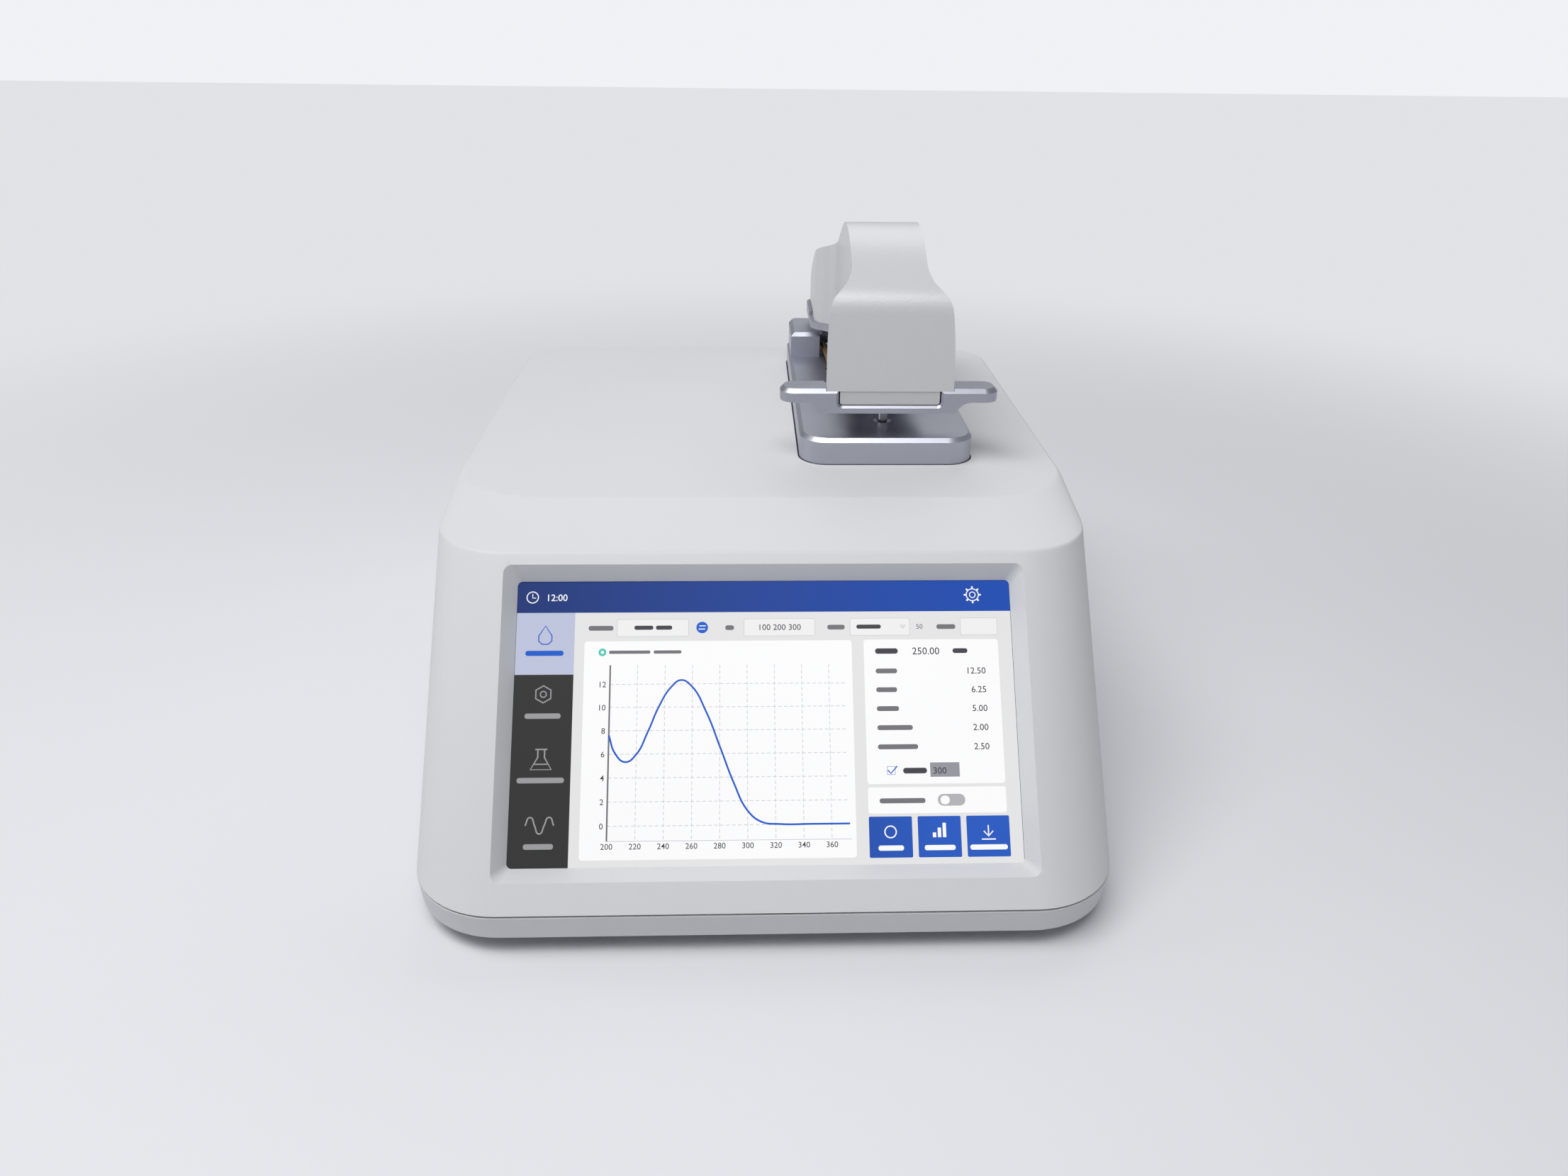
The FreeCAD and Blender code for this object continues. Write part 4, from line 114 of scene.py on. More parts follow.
# The sky is seen at full strength by the camera, in part by polished metal, and otherwise
# gives only a low even fill
world = bpy.data.worlds.new("studio")
bpy.context.scene.world = world
world.use_nodes = True
sky = world.node_tree
sky.nodes.clear()
sky_out = sky.nodes.new("ShaderNodeOutputWorld")
sky_mix = sky.nodes.new("ShaderNodeMixShader")
sky_seen = sky.nodes.new("ShaderNodeBackground")
sky_seen.inputs["Color"].default_value = BACKDROP_COLOUR
sky_fill = sky.nodes.new("ShaderNodeBackground")
sky_fill.inputs["Color"].default_value = AMBIENT_COLOUR
sky_fill.inputs["Strength"].default_value = AMBIENT_STRENGTH
sky_path = sky.nodes.new("ShaderNodeLightPath")
sky_share = sky.nodes.new("ShaderNodeMath")
sky_share.operation = "MULTIPLY_ADD"
sky_share.inputs[1].default_value = SKY_IN_METAL
sky.links.new(sky_path.outputs["Is Glossy Ray"], sky_share.inputs[0])
sky.links.new(sky_path.outputs["Is Camera Ray"], sky_share.inputs[2])
sky.links.new(sky_share.outputs[0], sky_mix.inputs["Fac"])
sky.links.new(sky_fill.outputs[0], sky_mix.inputs[1])
sky.links.new(sky_seen.outputs[0], sky_mix.inputs[2])
sky.links.new(sky_mix.outputs[0], sky_out.inputs["Surface"])

# The bench top fades into an even tone away from the instrument, where the camera or a
# reflection sees it
bench_shape = bmesh.new()
bmesh.ops.create_grid(bench_shape, x_segments=1, y_segments=1, size=BENCH_REACH)
bench_mesh = bpy.data.meshes.new("bench")
bench_shape.to_mesh(bench_mesh)
bench_shape.free()
bench = bpy.data.objects.new("bench", bench_mesh)
bpy.context.scene.collection.objects.link(bench)
bench_paint = bpy.data.materials.new("bench_paint")
bench_paint.use_nodes = True
bench_tree = bench_paint.node_tree
bench_shader = bench_tree.nodes["Principled BSDF"]
bench_shader.inputs["Base Color"].default_value = BENCH_COLOUR
bench_shader.inputs["Roughness"].default_value = BENCH_ROUGHNESS
bench_far = bench_tree.nodes.new("ShaderNodeEmission")
bench_far.inputs["Color"].default_value = BENCH_FAR_COLOUR
bench_place = bench_tree.nodes.new("ShaderNodeTexCoord")
bench_length = bench_tree.nodes.new("ShaderNodeVectorMath")
bench_length.operation = "LENGTH"
bench_tree.links.new(bench_place.outputs["Object"], bench_length.inputs[0])
bench_fade = bench_tree.nodes.new("ShaderNodeMapRange")
bench_fade.interpolation_type = "SMOOTHSTEP"
bench_fade.inputs["From Min"].default_value = BENCH_FADE_START
bench_fade.inputs["From Max"].default_value = BENCH_FADE_END
bench_tree.links.new(bench_length.outputs["Value"], bench_fade.inputs["Value"])
bench_path = bench_tree.nodes.new("ShaderNodeLightPath")
bench_seen = bench_tree.nodes.new("ShaderNodeMath")
bench_seen.operation = "MAXIMUM"
bench_tree.links.new(bench_path.outputs["Is Camera Ray"], bench_seen.inputs[0])
bench_tree.links.new(bench_path.outputs["Is Glossy Ray"], bench_seen.inputs[1])
bench_share = bench_tree.nodes.new("ShaderNodeMath")
bench_share.operation = "MULTIPLY"
bench_tree.links.new(bench_seen.outputs[0], bench_share.inputs[0])
bench_tree.links.new(bench_fade.outputs["Result"], bench_share.inputs[1])
bench_mix = bench_tree.nodes.new("ShaderNodeMixShader")
bench_tree.links.new(bench_share.outputs[0], bench_mix.inputs["Fac"])
bench_tree.links.new(bench_shader.outputs[0], bench_mix.inputs[1])
bench_tree.links.new(bench_far.outputs[0], bench_mix.inputs[2])
bench_out = bench_tree.nodes["Material Output"]
bench_tree.links.new(bench_mix.outputs[0], bench_out.inputs["Surface"])
bench_mesh.materials.append(bench_paint)

# ------------------------------------------------------------------ upper housing and base moulding
# Two injection-moulded ABS shells, light grey with a fine spark-eroded texture, that meet at
# a thin shadow line. Screws from below hold them together.
HOUSING_GREY = (0.655, 0.662, 0.675, 1)
BASE_GREY = (0.600, 0.608, 0.625, 1)
HOUSING_GRAIN = 2600.0
HOUSING_GRAIN_DEPTH = 0.000020
HOUSING_EDGE = 0.0006
BASE_EDGE = 0.0003
CLOUD_SCALE = 18.0
SPECK_SHARE = 0.8


def new_group(name, inputs, outputs):
    """Shader node group with float or colour sockets, its input and its output node."""
    tree = bpy.data.node_groups.new(name, "ShaderNodeTree")
    for label, value in inputs:
        kind = "NodeSocketColor" if isinstance(value, tuple) else "NodeSocketFloat"
        tree.interface.new_socket(label, in_out="INPUT", socket_type=kind).default_value = value
    for label, kind in outputs:
        tree.interface.new_socket(label, in_out="OUTPUT", socket_type=kind)
    return tree, tree.nodes.new("NodeGroupInput"), tree.nodes.new("NodeGroupOutput")


def add_noise(tree, coordinates, scale, detail=2.0, roughness=0.5):
    """Noise texture's value; the scale is a socket or a number."""
    noise = tree.nodes.new("ShaderNodeTexNoise")
    noise.inputs["Detail"].default_value = detail
    noise.inputs["Roughness"].default_value = roughness
    tree.links.new(coordinates, noise.inputs["Vector"])
    if isinstance(scale, float):
        noise.inputs["Scale"].default_value = scale
    else:
        tree.links.new(scale, noise.inputs["Scale"])
    return noise.outputs["Fac"]


def add_sum(tree, operation, first, second, third=None):
    """Math node's value; each input is a socket or a number."""
    node = tree.nodes.new("ShaderNodeMath")
    node.operation = operation
    for place, value in enumerate((first, second, third)):
        if value is None:
            continue
        if isinstance(value, (int, float)):
            node.inputs[place].default_value = value
        else:
            tree.links.new(value, node.inputs[place])
    return node.outputs[0]


def add_shade(tree, colour, amount):
    """Colour made lighter or darker by a factor."""
    node = tree.nodes.new("ShaderNodeVectorMath")
    node.operation = "SCALE"
    tree.links.new(colour, node.inputs[0])
    tree.links.new(amount, node.inputs["Scale"])
    return node.outputs[0]


MIDDLE_GREY = (0.5, 0.5, 0.5, 1)
SURFACE_OUTPUTS = [
    ("Colour", "NodeSocketColor"), ("Roughness", "NodeSocketFloat"), ("Height", "NodeSocketFloat"),
]

# Moulded or painted skin: fine grain, a cloudy change of tone and of gloss
grain_group, grain_in, grain_out = new_group(
    "moulded_grain",
    [
        ("Colour", MIDDLE_GREY), ("Tone", 0.02), ("Grain", 2000.0), ("Gloss", 0.5),
        ("Gloss change", 0.06),
    ],
    SURFACE_OUTPUTS,
)
grain_place = grain_group.nodes.new("ShaderNodeTexCoord").outputs["Object"]
grain_fine = add_noise(grain_group, grain_place, grain_in.outputs["Grain"], detail=3.0)
grain_cloud = add_noise(grain_group, grain_place, CLOUD_SCALE, detail=3.0)
grain_shift = add_sum(grain_group, "SUBTRACT", grain_cloud, 0.5)
grain_fine_shift = add_sum(grain_group, "SUBTRACT", grain_fine, 0.5)
grain_speck = add_sum(grain_group, "MULTIPLY", grain_fine_shift, SPECK_SHARE)
grain_both = add_sum(grain_group, "ADD", grain_shift, grain_speck)
grain_tone = add_sum(grain_group, "MULTIPLY_ADD", grain_both, grain_in.outputs["Tone"], 1.0)
grain_colour = add_shade(grain_group, grain_in.outputs["Colour"], grain_tone)
grain_group.links.new(grain_colour, grain_out.inputs["Colour"])
grain_gloss = add_sum(
    grain_group, "MULTIPLY_ADD",
    grain_shift, grain_in.outputs["Gloss change"], grain_in.outputs["Gloss"],
)
grain_group.links.new(grain_gloss, grain_out.inputs["Roughness"])
grain_group.links.new(grain_fine, grain_out.inputs["Height"])


def finish(name, group, values, depth, metallic=0.0, sockets=None):
    """Material whose colour, roughness and relief come from one of the surface groups.

    The depth of the relief is in metres; sockets are the shader's own even values.
    """
    material = bpy.data.materials.new(name)
    material.use_nodes = True
    tree = material.node_tree
    shader = tree.nodes["Principled BSDF"]
    shader.inputs["Metallic"].default_value = metallic
    for label, value in (sockets or {}).items():
        shader.inputs[label].default_value = value
    surface = tree.nodes.new("ShaderNodeGroup")
    surface.node_tree = group
    for label, value in values.items():
        surface.inputs[label].default_value = value
    tree.links.new(surface.outputs["Colour"], shader.inputs["Base Color"])
    tree.links.new(surface.outputs["Roughness"], shader.inputs["Roughness"])
    if depth:
        bump = tree.nodes.new("ShaderNodeBump")
        bump.inputs["Distance"].default_value = depth
        bump.inputs["Strength"].default_value = 1.0
        tree.links.new(surface.outputs["Height"], bump.inputs["Height"])
        tree.links.new(bump.outputs["Normal"], shader.inputs["Normal"])
    return material


def dress(material, *names):
    """Give CAD nodes a finish."""
    for name in names:
        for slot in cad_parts[name].material_slots:
            slot.material = material


WELD_REACH = 0.000002
EDGE_SEGMENTS = 2
SHARP_EDGE = math.radians(32)
LARGE_FACE_WEIGHT = 50


def soften(width, *names):
    """Break the sharp edges of CAD nodes, and keep their flat faces flat in the light."""
    for name in names:
        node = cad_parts[name]
        weld = node.modifiers.new("weld", "WELD")
        weld.merge_threshold = WELD_REACH
        bevel = node.modifiers.new("edge_break", "BEVEL")
        bevel.width = width
        bevel.segments = EDGE_SEGMENTS
        bevel.limit_method = "ANGLE"
        bevel.angle_limit = SHARP_EDGE
        node.modifiers.new("flat_faces", "WEIGHTED_NORMAL").weight = LARGE_FACE_WEIGHT


housing_skin = finish(
    "housing_skin", grain_group,
    {
        "Colour": HOUSING_GREY, "Tone": 0.03, "Grain": HOUSING_GRAIN,
        "Gloss": 0.46, "Gloss change": 0.08,
    },
    depth=HOUSING_GRAIN_DEPTH,
)
base_skin = finish(
    "base_skin", grain_group,
    {
        "Colour": BASE_GREY, "Tone": 0.03, "Grain": HOUSING_GRAIN,
        "Gloss": 0.5, "Gloss change": 0.08,
    },
    depth=HOUSING_GRAIN_DEPTH,
)
dress(housing_skin, "upper_housing")
dress(base_skin, "bottom_shell")
soften(HOUSING_EDGE, "upper_housing")
soften(BASE_EDGE, "bottom_shell")

# ------------------------------------------------------------------ feet and underside
# Four turned rubber feet, each pulled into the base by one screw. The longer screws beside
# them hold the two mouldings and the optics frame together.
FOOT_BLACK = (0.030, 0.030, 0.032, 1)
ZINC_GREY = (0.56, 0.57, 0.60, 1)
METAL_CLOUD_SCALE = 60.0

# Bare metal: fine pits or rolling marks, a cloudy change of gloss, and a slight change of tone
metal_group, metal_in, metal_out = new_group(
    "worked_metal",
    [
        ("Colour", MIDDLE_GREY), ("Tone", 0.05), ("Pits", 3000.0), ("Gloss", 0.35),
        ("Gloss change", 0.12),
    ],
    SURFACE_OUTPUTS,
)
metal_place = metal_group.nodes.new("ShaderNodeTexCoord").outputs["Object"]
metal_fine = add_noise(
    metal_group, metal_place, metal_in.outputs["Pits"], detail=4.0, roughness=0.6,
)
metal_cloud = add_noise(metal_group, metal_place, METAL_CLOUD_SCALE, detail=4.0)
metal_fine_shift = add_sum(metal_group, "SUBTRACT", metal_fine, 0.5)
metal_cloud_shift = add_sum(metal_group, "SUBTRACT", metal_cloud, 0.5)
metal_both = add_sum(metal_group, "ADD", metal_fine_shift, metal_cloud_shift)
metal_tone = add_sum(metal_group, "MULTIPLY_ADD", metal_both, metal_in.outputs["Tone"], 1.0)
metal_colour = add_shade(metal_group, metal_in.outputs["Colour"], metal_tone)
metal_group.links.new(metal_colour, metal_out.inputs["Colour"])
metal_gloss = add_sum(
    metal_group, "MULTIPLY_ADD",
    metal_both, metal_in.outputs["Gloss change"], metal_in.outputs["Gloss"],
)
metal_group.links.new(metal_gloss, metal_out.inputs["Roughness"])
metal_group.links.new(metal_fine, metal_out.inputs["Height"])

foot_rubber = finish(
    "foot_rubber", grain_group,
    {"Colour": FOOT_BLACK, "Tone": 0.25, "Grain": 1800.0, "Gloss": 0.75, "Gloss change": 0.15},
    depth=0.00002,
)
zinc_plate = finish(
    "zinc_plate", metal_group,
    {"Colour": ZINC_GREY, "Tone": 0.10, "Pits": 1500.0, "Gloss": 0.32, "Gloss change": 0.20},
    depth=0.000004, metallic=1.0,
)
dress(foot_rubber, "feet")
dress(zinc_plate, "foot_screws", "housing_screws", "frame_screws", "board_screws", "small_screws")

# ------------------------------------------------------------------ display stack
# A 7-inch panel behind one sheet of black-edged cover glass, with a foam gasket under the
# bezel, and its steel bracket, driver board and ribbon inside the housing.
GASKET_BLACK = (0.018, 0.018, 0.020, 1)
GLASS_BLACK = (0.010, 0.011, 0.014, 1)
LAMINATE_GREEN = (0.020, 0.115, 0.060, 1)
LAMINATE_TRACE = (0.045, 0.200, 0.105, 1)
TRACE_PITCH = 900.0
TRACE_WIDTH = 0.06
PATCH_SCALE = 90.0
LAMINATE_ROUGHNESS = 0.38
TRACE_POLISH = -0.08
PANEL_GREY = (0.16, 0.17, 0.20, 1)
RIBBON_AMBER = (0.50, 0.20, 0.035, 1)

# Circuit board: lacquered laminate with patches of raised copper runs
board_group, board_in, board_out = new_group(
    "board_laminate",
    [("Colour", LAMINATE_GREEN), ("Trace colour", LAMINATE_TRACE), ("Pitch", TRACE_PITCH)],
    SURFACE_OUTPUTS,
)
board_place = board_group.nodes.new("ShaderNodeTexCoord").outputs["Object"]
board_runs = board_group.nodes.new("ShaderNodeTexBrick")
board_runs.inputs["Mortar Size"].default_value = TRACE_WIDTH
board_runs.inputs["Color1"].default_value = (0, 0, 0, 1)
board_runs.inputs["Color2"].default_value = (0, 0, 0, 1)
board_runs.inputs["Mortar"].default_value = (1, 1, 1, 1)
board_group.links.new(board_place, board_runs.inputs["Vector"])
board_group.links.new(board_in.outputs["Pitch"], board_runs.inputs["Scale"])
board_clouds = add_noise(board_group, board_place, PATCH_SCALE, detail=1.0)
board_patches = add_sum(board_group, "GREATER_THAN", board_clouds, 0.5)
board_mask = add_sum(board_group, "MULTIPLY", board_runs.outputs["Color"], board_patches)
board_mix = board_group.nodes.new("ShaderNodeMix")
board_mix.data_type = "RGBA"
board_group.links.new(board_mask, board_mix.inputs["Factor"])
board_group.links.new(board_in.outputs["Colour"], board_mix.inputs["A"])
board_group.links.new(board_in.outputs["Trace colour"], board_mix.inputs["B"])
board_group.links.new(board_mix.outputs["Result"], board_out.inputs["Colour"])
board_gloss = add_sum(
    board_group, "MULTIPLY_ADD", board_mask, TRACE_POLISH, LAMINATE_ROUGHNESS
)
board_group.links.new(board_gloss, board_out.inputs["Roughness"])
board_group.links.new(board_mask, board_out.inputs["Height"])

gasket_foam = finish(
    "gasket_foam", grain_group,
    {"Colour": GASKET_BLACK, "Tone": 0.4, "Grain": 1400.0, "Gloss": 0.85, "Gloss change": 0.1},
    depth=0.00005,
)
cover_glass = finish(
    "cover_glass", grain_group,
    {"Colour": GLASS_BLACK, "Tone": 0.1, "Grain": 300.0, "Gloss": 0.10, "Gloss change": 0.05},
    depth=0.0, sockets={"Coat Weight": 0.6, "Coat Roughness": 0.03},
)
panel_film = finish(
    "panel_film", grain_group,
    {"Colour": PANEL_GREY, "Tone": 0.08, "Grain": 900.0, "Gloss": 0.4, "Gloss change": 0.1},
    depth=0.000004,
)
laminate = finish(
    "laminate", board_group, {},
    depth=0.00003, sockets={"Coat Weight": 0.35, "Coat Roughness": 0.2},
)
amber_film = finish(
    "amber_film", grain_group,
    {"Colour": RIBBON_AMBER, "Tone": 0.2, "Grain": 500.0, "Gloss": 0.3, "Gloss change": 0.1},
    depth=0.00001,
)
dress(gasket_foam, "glass_gasket", "plinth_gasket")
dress(cover_glass, "touch_glass")
dress(panel_film, "lcd_module")
dress(zinc_plate, "display_bracket")
dress(laminate, "display_board", "main_board", "power_board", "detector_board", "arm_sensor")
dress(amber_film, "display_ribbon")

# ------------------------------------------------------------------ picture on the display
# The lit picture under the glass: a blue header, a dark menu strip, a graph card, cards of
# figures and three blue keys. It is drawn in millimetres from its top left corner, x to the
# right and y down, in thin layers that lie on each other.
PICTURE_WIDTH = 152.6
PICTURE_HEIGHT = 86.3
FRONT_RISE = 83.3
FRONT_RUN = 69.0
SCREEN_LEAN = math.atan2(FRONT_RISE, FRONT_RUN)
GLASS_THICKNESS = 0.0016
MILLIMETRE = 0.001
INK_STEP = 0.03
SHEET = 0
CARD = 1
INK = 2
TOP_INK = 3
CURVE_INK = 4
FIGURE_WEIGHT = 0.012
CAPITAL_SHARE = 0.7
CORNER_SEGMENTS = 5
LINE_SEGMENTS = 6
FIGURE_SEGMENTS = 3
MENU_WIDTH = 17.8
HEADER_HEIGHT = 9.8
TAB_BOTTOM = 29.0

BACKGROUND_GREY = (0.783, 0.783, 0.791)
CARD_WHITE = (0.965, 0.965, 0.975)
HEADER_LEFT = (0.0150, 0.0380, 0.1800)
HEADER_RIGHT = (0.0160, 0.0800, 0.4500)
MENU_DARK = (0.0395, 0.0395, 0.0395)
TAB_VIOLET = (0.5149, 0.5520, 0.7084)
INK_BLUE = (0.020, 0.115, 0.600)
INK_DARK = (0.065, 0.065, 0.075)
INK_MID = (0.185, 0.185, 0.200)
MENU_GREY = (0.33, 0.33, 0.34)
GRID_GREY = (0.60, 0.61, 0.67)
FIELD_GREY = (0.87, 0.87, 0.875)
FIELD_EDGE = (0.60, 0.60, 0.62)
VALUE_GREY = (0.31, 0.31, 0.35)
BULLET_TEAL = (0.085, 0.59, 0.45)
TOGGLE_GREY = (0.46, 0.46, 0.48)

glass_low, glass_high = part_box("touch_glass")
glass_middle = (glass_low + glass_high) / 2
onto_screen = (
    Matrix.Translation(glass_middle)
    @ Matrix.Rotation(SCREEN_LEAN, 4, "X")
    @ Matrix.Translation((0, 0, GLASS_THICKNESS / 2))
    @ Matrix.Scale(MILLIMETRE, 4)
    @ Matrix.Translation((-PICTURE_WIDTH / 2, PICTURE_HEIGHT / 2, 0))
)

# The lit dots: a fine raster, a backlight that is not quite even, and a colour that may run
# from one tone at the left to another at the right
DOT_SCALE = 2100.0
BACKLIGHT_SCALE = 14.0
LIGHT_CHANGE = 0.03
LIGHT_LEVEL = 0.965
light_group, light_in, light_out = new_group(
    "display_light",
    [("Left", MIDDLE_GREY), ("Right", MIDDLE_GREY), ("Start", -0.076), ("Span", 0.152)],
    [("Colour", "NodeSocketColor")],
)
light_place = light_group.nodes.new("ShaderNodeTexCoord").outputs["Object"]
light_split = light_group.nodes.new("ShaderNodeSeparateXYZ")
light_group.links.new(light_place, light_split.inputs[0])
light_way = add_sum(light_group, "SUBTRACT", light_split.outputs["X"], light_in.outputs["Start"])
light_run = add_sum(light_group, "DIVIDE", light_way, light_in.outputs["Span"])
light_mix = light_group.nodes.new("ShaderNodeMix")
light_mix.data_type = "RGBA"
light_group.links.new(light_run, light_mix.inputs["Factor"])
light_group.links.new(light_in.outputs["Left"], light_mix.inputs["A"])
light_group.links.new(light_in.outputs["Right"], light_mix.inputs["B"])
light_dots = light_group.nodes.new("ShaderNodeTexWave")
light_dots.bands_direction = "X"
light_dots.inputs["Scale"].default_value = DOT_SCALE
light_group.links.new(light_place, light_dots.inputs["Vector"])
light_level = add_sum(
    light_group, "MULTIPLY_ADD", light_dots.outputs["Fac"], LIGHT_CHANGE, LIGHT_LEVEL
)
light_noise = add_noise(light_group, light_place, BACKLIGHT_SCALE, detail=1.0)
light_cloud = add_sum(light_group, "MULTIPLY_ADD", light_noise, LIGHT_CHANGE, 0.0)
light_both = add_sum(light_group, "ADD", light_level, light_cloud)
light_colour = add_shade(light_group, light_mix.outputs["Result"], light_both)
light_group.links.new(light_colour, light_out.inputs["Colour"])

UNLIT_BLACK = (0.004, 0.004, 0.005, 1)
PANEL_ROUGHNESS = 0.30
PANEL_SPECULAR = 0.06
PANEL_START = -PICTURE_WIDTH / 2 * MILLIMETRE
PANEL_SPAN = PICTURE_WIDTH * MILLIMETRE


def display_ink(name, left, right=None, start=PANEL_START, span=PANEL_SPAN):
    """Lit colour of the display, even or running over a span in metres from left to right."""
    material = bpy.data.materials.new(name)
    material.use_nodes = True
    tree = material.node_tree
    shader = tree.nodes["Principled BSDF"]
    shader.inputs["Base Color"].default_value = UNLIT_BLACK
    shader.inputs["Roughness"].default_value = PANEL_ROUGHNESS
    shader.inputs["Specular IOR Level"].default_value = PANEL_SPECULAR
    shader.inputs["Emission Strength"].default_value = 1.0
    light = tree.nodes.new("ShaderNodeGroup")
    light.node_tree = light_group
    light.inputs["Left"].default_value = (*left, 1)
    light.inputs["Right"].default_value = (*(right or left), 1)
    light.inputs["Start"].default_value = start
    light.inputs["Span"].default_value = span
    tree.links.new(light.outputs["Colour"], shader.inputs["Emission Color"])
    return material


def add_plate(shape, left, top, right, bottom, layer, radius=0.0):
    """Thin plate of the picture, one layer thick, with rounded corners where it has a radius."""
    grid = bmesh.ops.create_grid(shape, x_segments=1, y_segments=1, size=0.5)["verts"]
    size = Matrix.Diagonal((right - left, bottom - top, 1, 1))
    middle = Matrix.Translation(((left + right) / 2, -(top + bottom) / 2, layer * INK_STEP))
    bmesh.ops.transform(shape, matrix=middle @ size, verts=grid)
    face = grid[0].link_faces[0]
    if radius:
        made = bmesh.ops.bevel(
            shape, geom=grid, offset=radius, offset_type="OFFSET", affect="VERTICES",
            segments=CORNER_SEGMENTS, profile=0.5, material=-1,
        )
        face = max((f for v in made["verts"] for f in v.link_faces), key=lambda f: f.calc_area())
    raised = bmesh.ops.extrude_face_region(shape, geom=[face])["geom"]
    top_points = [item for item in raised if isinstance(item, bmesh.types.BMVert)]
    bmesh.ops.translate(shape, vec=(0, 0, INK_STEP), verts=top_points)


def add_mesh_of(shape, curve, place):
    """Take a curve or a text into the picture as a mesh."""
    holder = bpy.data.objects.new("drawing", curve)
    bpy.context.scene.collection.objects.link(holder)
    bpy.context.view_layer.update()
    drawn = holder.evaluated_get(bpy.context.evaluated_depsgraph_get())
    mesh = bpy.data.meshes.new_from_object(drawn)
    mesh.transform(place)
    shape.from_mesh(mesh)
    bpy.data.objects.remove(holder)
    bpy.data.meshes.remove(mesh)
    bpy.data.curves.remove(curve)


def add_line(shape, points, width, layer, closed=False, smooth=False):
    """Drawn line of one width through points (x right, y down)."""
    curve = bpy.data.curves.new("line", "CURVE")
    curve.dimensions = "3D"
    curve.bevel_depth = width / 2
    curve.bevel_resolution = 1
    curve.use_fill_caps = not closed
    curve.resolution_u = LINE_SEGMENTS
    spline = curve.splines.new("BEZIER" if smooth else "POLY")
    if smooth:
        spline.bezier_points.add(len(points) - 1)
        for knot, (x, y) in zip(spline.bezier_points, points):
            knot.co = (x, -y, 0)
            knot.handle_left_type = knot.handle_right_type = "AUTO"
    else:
        spline.points.add(len(points) - 1)
        for knot, (x, y) in zip(spline.points, points):
            knot.co = (x, -y, 0, 1)
    spline.use_cyclic_u = closed
    flat = Matrix.Diagonal((1, 1, INK_STEP / width, 1))
    add_mesh_of(shape, curve, Matrix.Translation((0, 0, (layer + 0.5) * INK_STEP)) @ flat)


def around(x, y, radius, turn):
    """Point at an angle on a circle."""
    return (x + radius * math.cos(turn), y + radius * math.sin(turn))


def add_ring(shape, x, y, radius, width, layer, count=28):
    """Drawn circle."""
    step = 2 * math.pi / count
    points = [around(x, y, radius, i * step) for i in range(count)]
    add_line(shape, points, width, layer, closed=True)


def add_figures(shape, text, x, y, height, layer, align="LEFT"):
    """Plain numbers of a height in millimetres, centred on y."""
    curve = bpy.data.curves.new("figures", "FONT")
    curve.body = text
    curve.size = height / CAPITAL_SHARE
    curve.align_x = align
    curve.extrude = INK_STEP / 2
    curve.offset = FIGURE_WEIGHT
    curve.resolution_u = FIGURE_SEGMENTS
    add_mesh_of(shape, curve, Matrix.Translation((x, -y - height / 2, (layer + 0.5) * INK_STEP)))


BAR_ROUNDING = 0.45


def add_bar(shape, left, middle, right, layer, thickness):
    """Rounded bar that stands where a word would be."""
    half = thickness / 2
    add_plate(shape, left, middle - half, right, middle + half, layer, thickness * BAR_ROUNDING)


def close_picture(name, shape, *ink):
    """Carry a drawn part of the picture onto the glass, and light it in its own ink."""
    bmesh.ops.remove_doubles(shape, verts=shape.verts[:], dist=INK_STEP / 100)
    bmesh.ops.transform(shape, matrix=onto_screen, verts=shape.verts[:])
    bmesh.ops.recalc_face_normals(shape, faces=shape.faces[:])
    mesh = bpy.data.meshes.new(name)
    shape.to_mesh(mesh)
    shape.free()
    mesh.materials.append(display_ink(name, *ink))
    piece = bpy.data.objects.new(name, mesh)
    bpy.context.scene.collection.objects.link(piece)
    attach(piece, "base")


# Background sheet
picture = bmesh.new()
add_plate(picture, 0, 0, PICTURE_WIDTH, PICTURE_HEIGHT, SHEET)
close_picture("picture_background", picture, BACKGROUND_GREY)

# Header and menu strip
picture = bmesh.new()
add_plate(picture, 0, 0, PICTURE_WIDTH, HEADER_HEIGHT, CARD)
close_picture("picture_header", picture, HEADER_LEFT, HEADER_RIGHT)
picture = bmesh.new()
add_plate(picture, 0, TAB_BOTTOM, MENU_WIDTH, PICTURE_HEIGHT, CARD)
close_picture("picture_menu", picture, MENU_DARK)
picture = bmesh.new()
add_plate(picture, 0, HEADER_HEIGHT, MENU_WIDTH, TAB_BOTTOM, CARD)
close_picture("picture_open_tab", picture, TAB_VIOLET)

# White cards for the graph, the list and the toggle, and the toggle's knob
CARD_RIGHT = 148.2
CARD_ROUNDING = 0.9
picture = bmesh.new()
add_plate(picture, 20.9, 18.8, 102.8, 84.2, CARD, radius=CARD_ROUNDING)
add_plate(picture, 106.5, 18.7, CARD_RIGHT, 62.8, CARD, radius=CARD_ROUNDING)
add_plate(picture, 106.6, 63.8, CARD_RIGHT, 71.5, CARD, radius=0.7)
add_plate(picture, 128.3, 66.4, 131.1, 69.0, TOP_INK, radius=1.25)
close_picture("picture_cards", picture, CARD_WHITE)

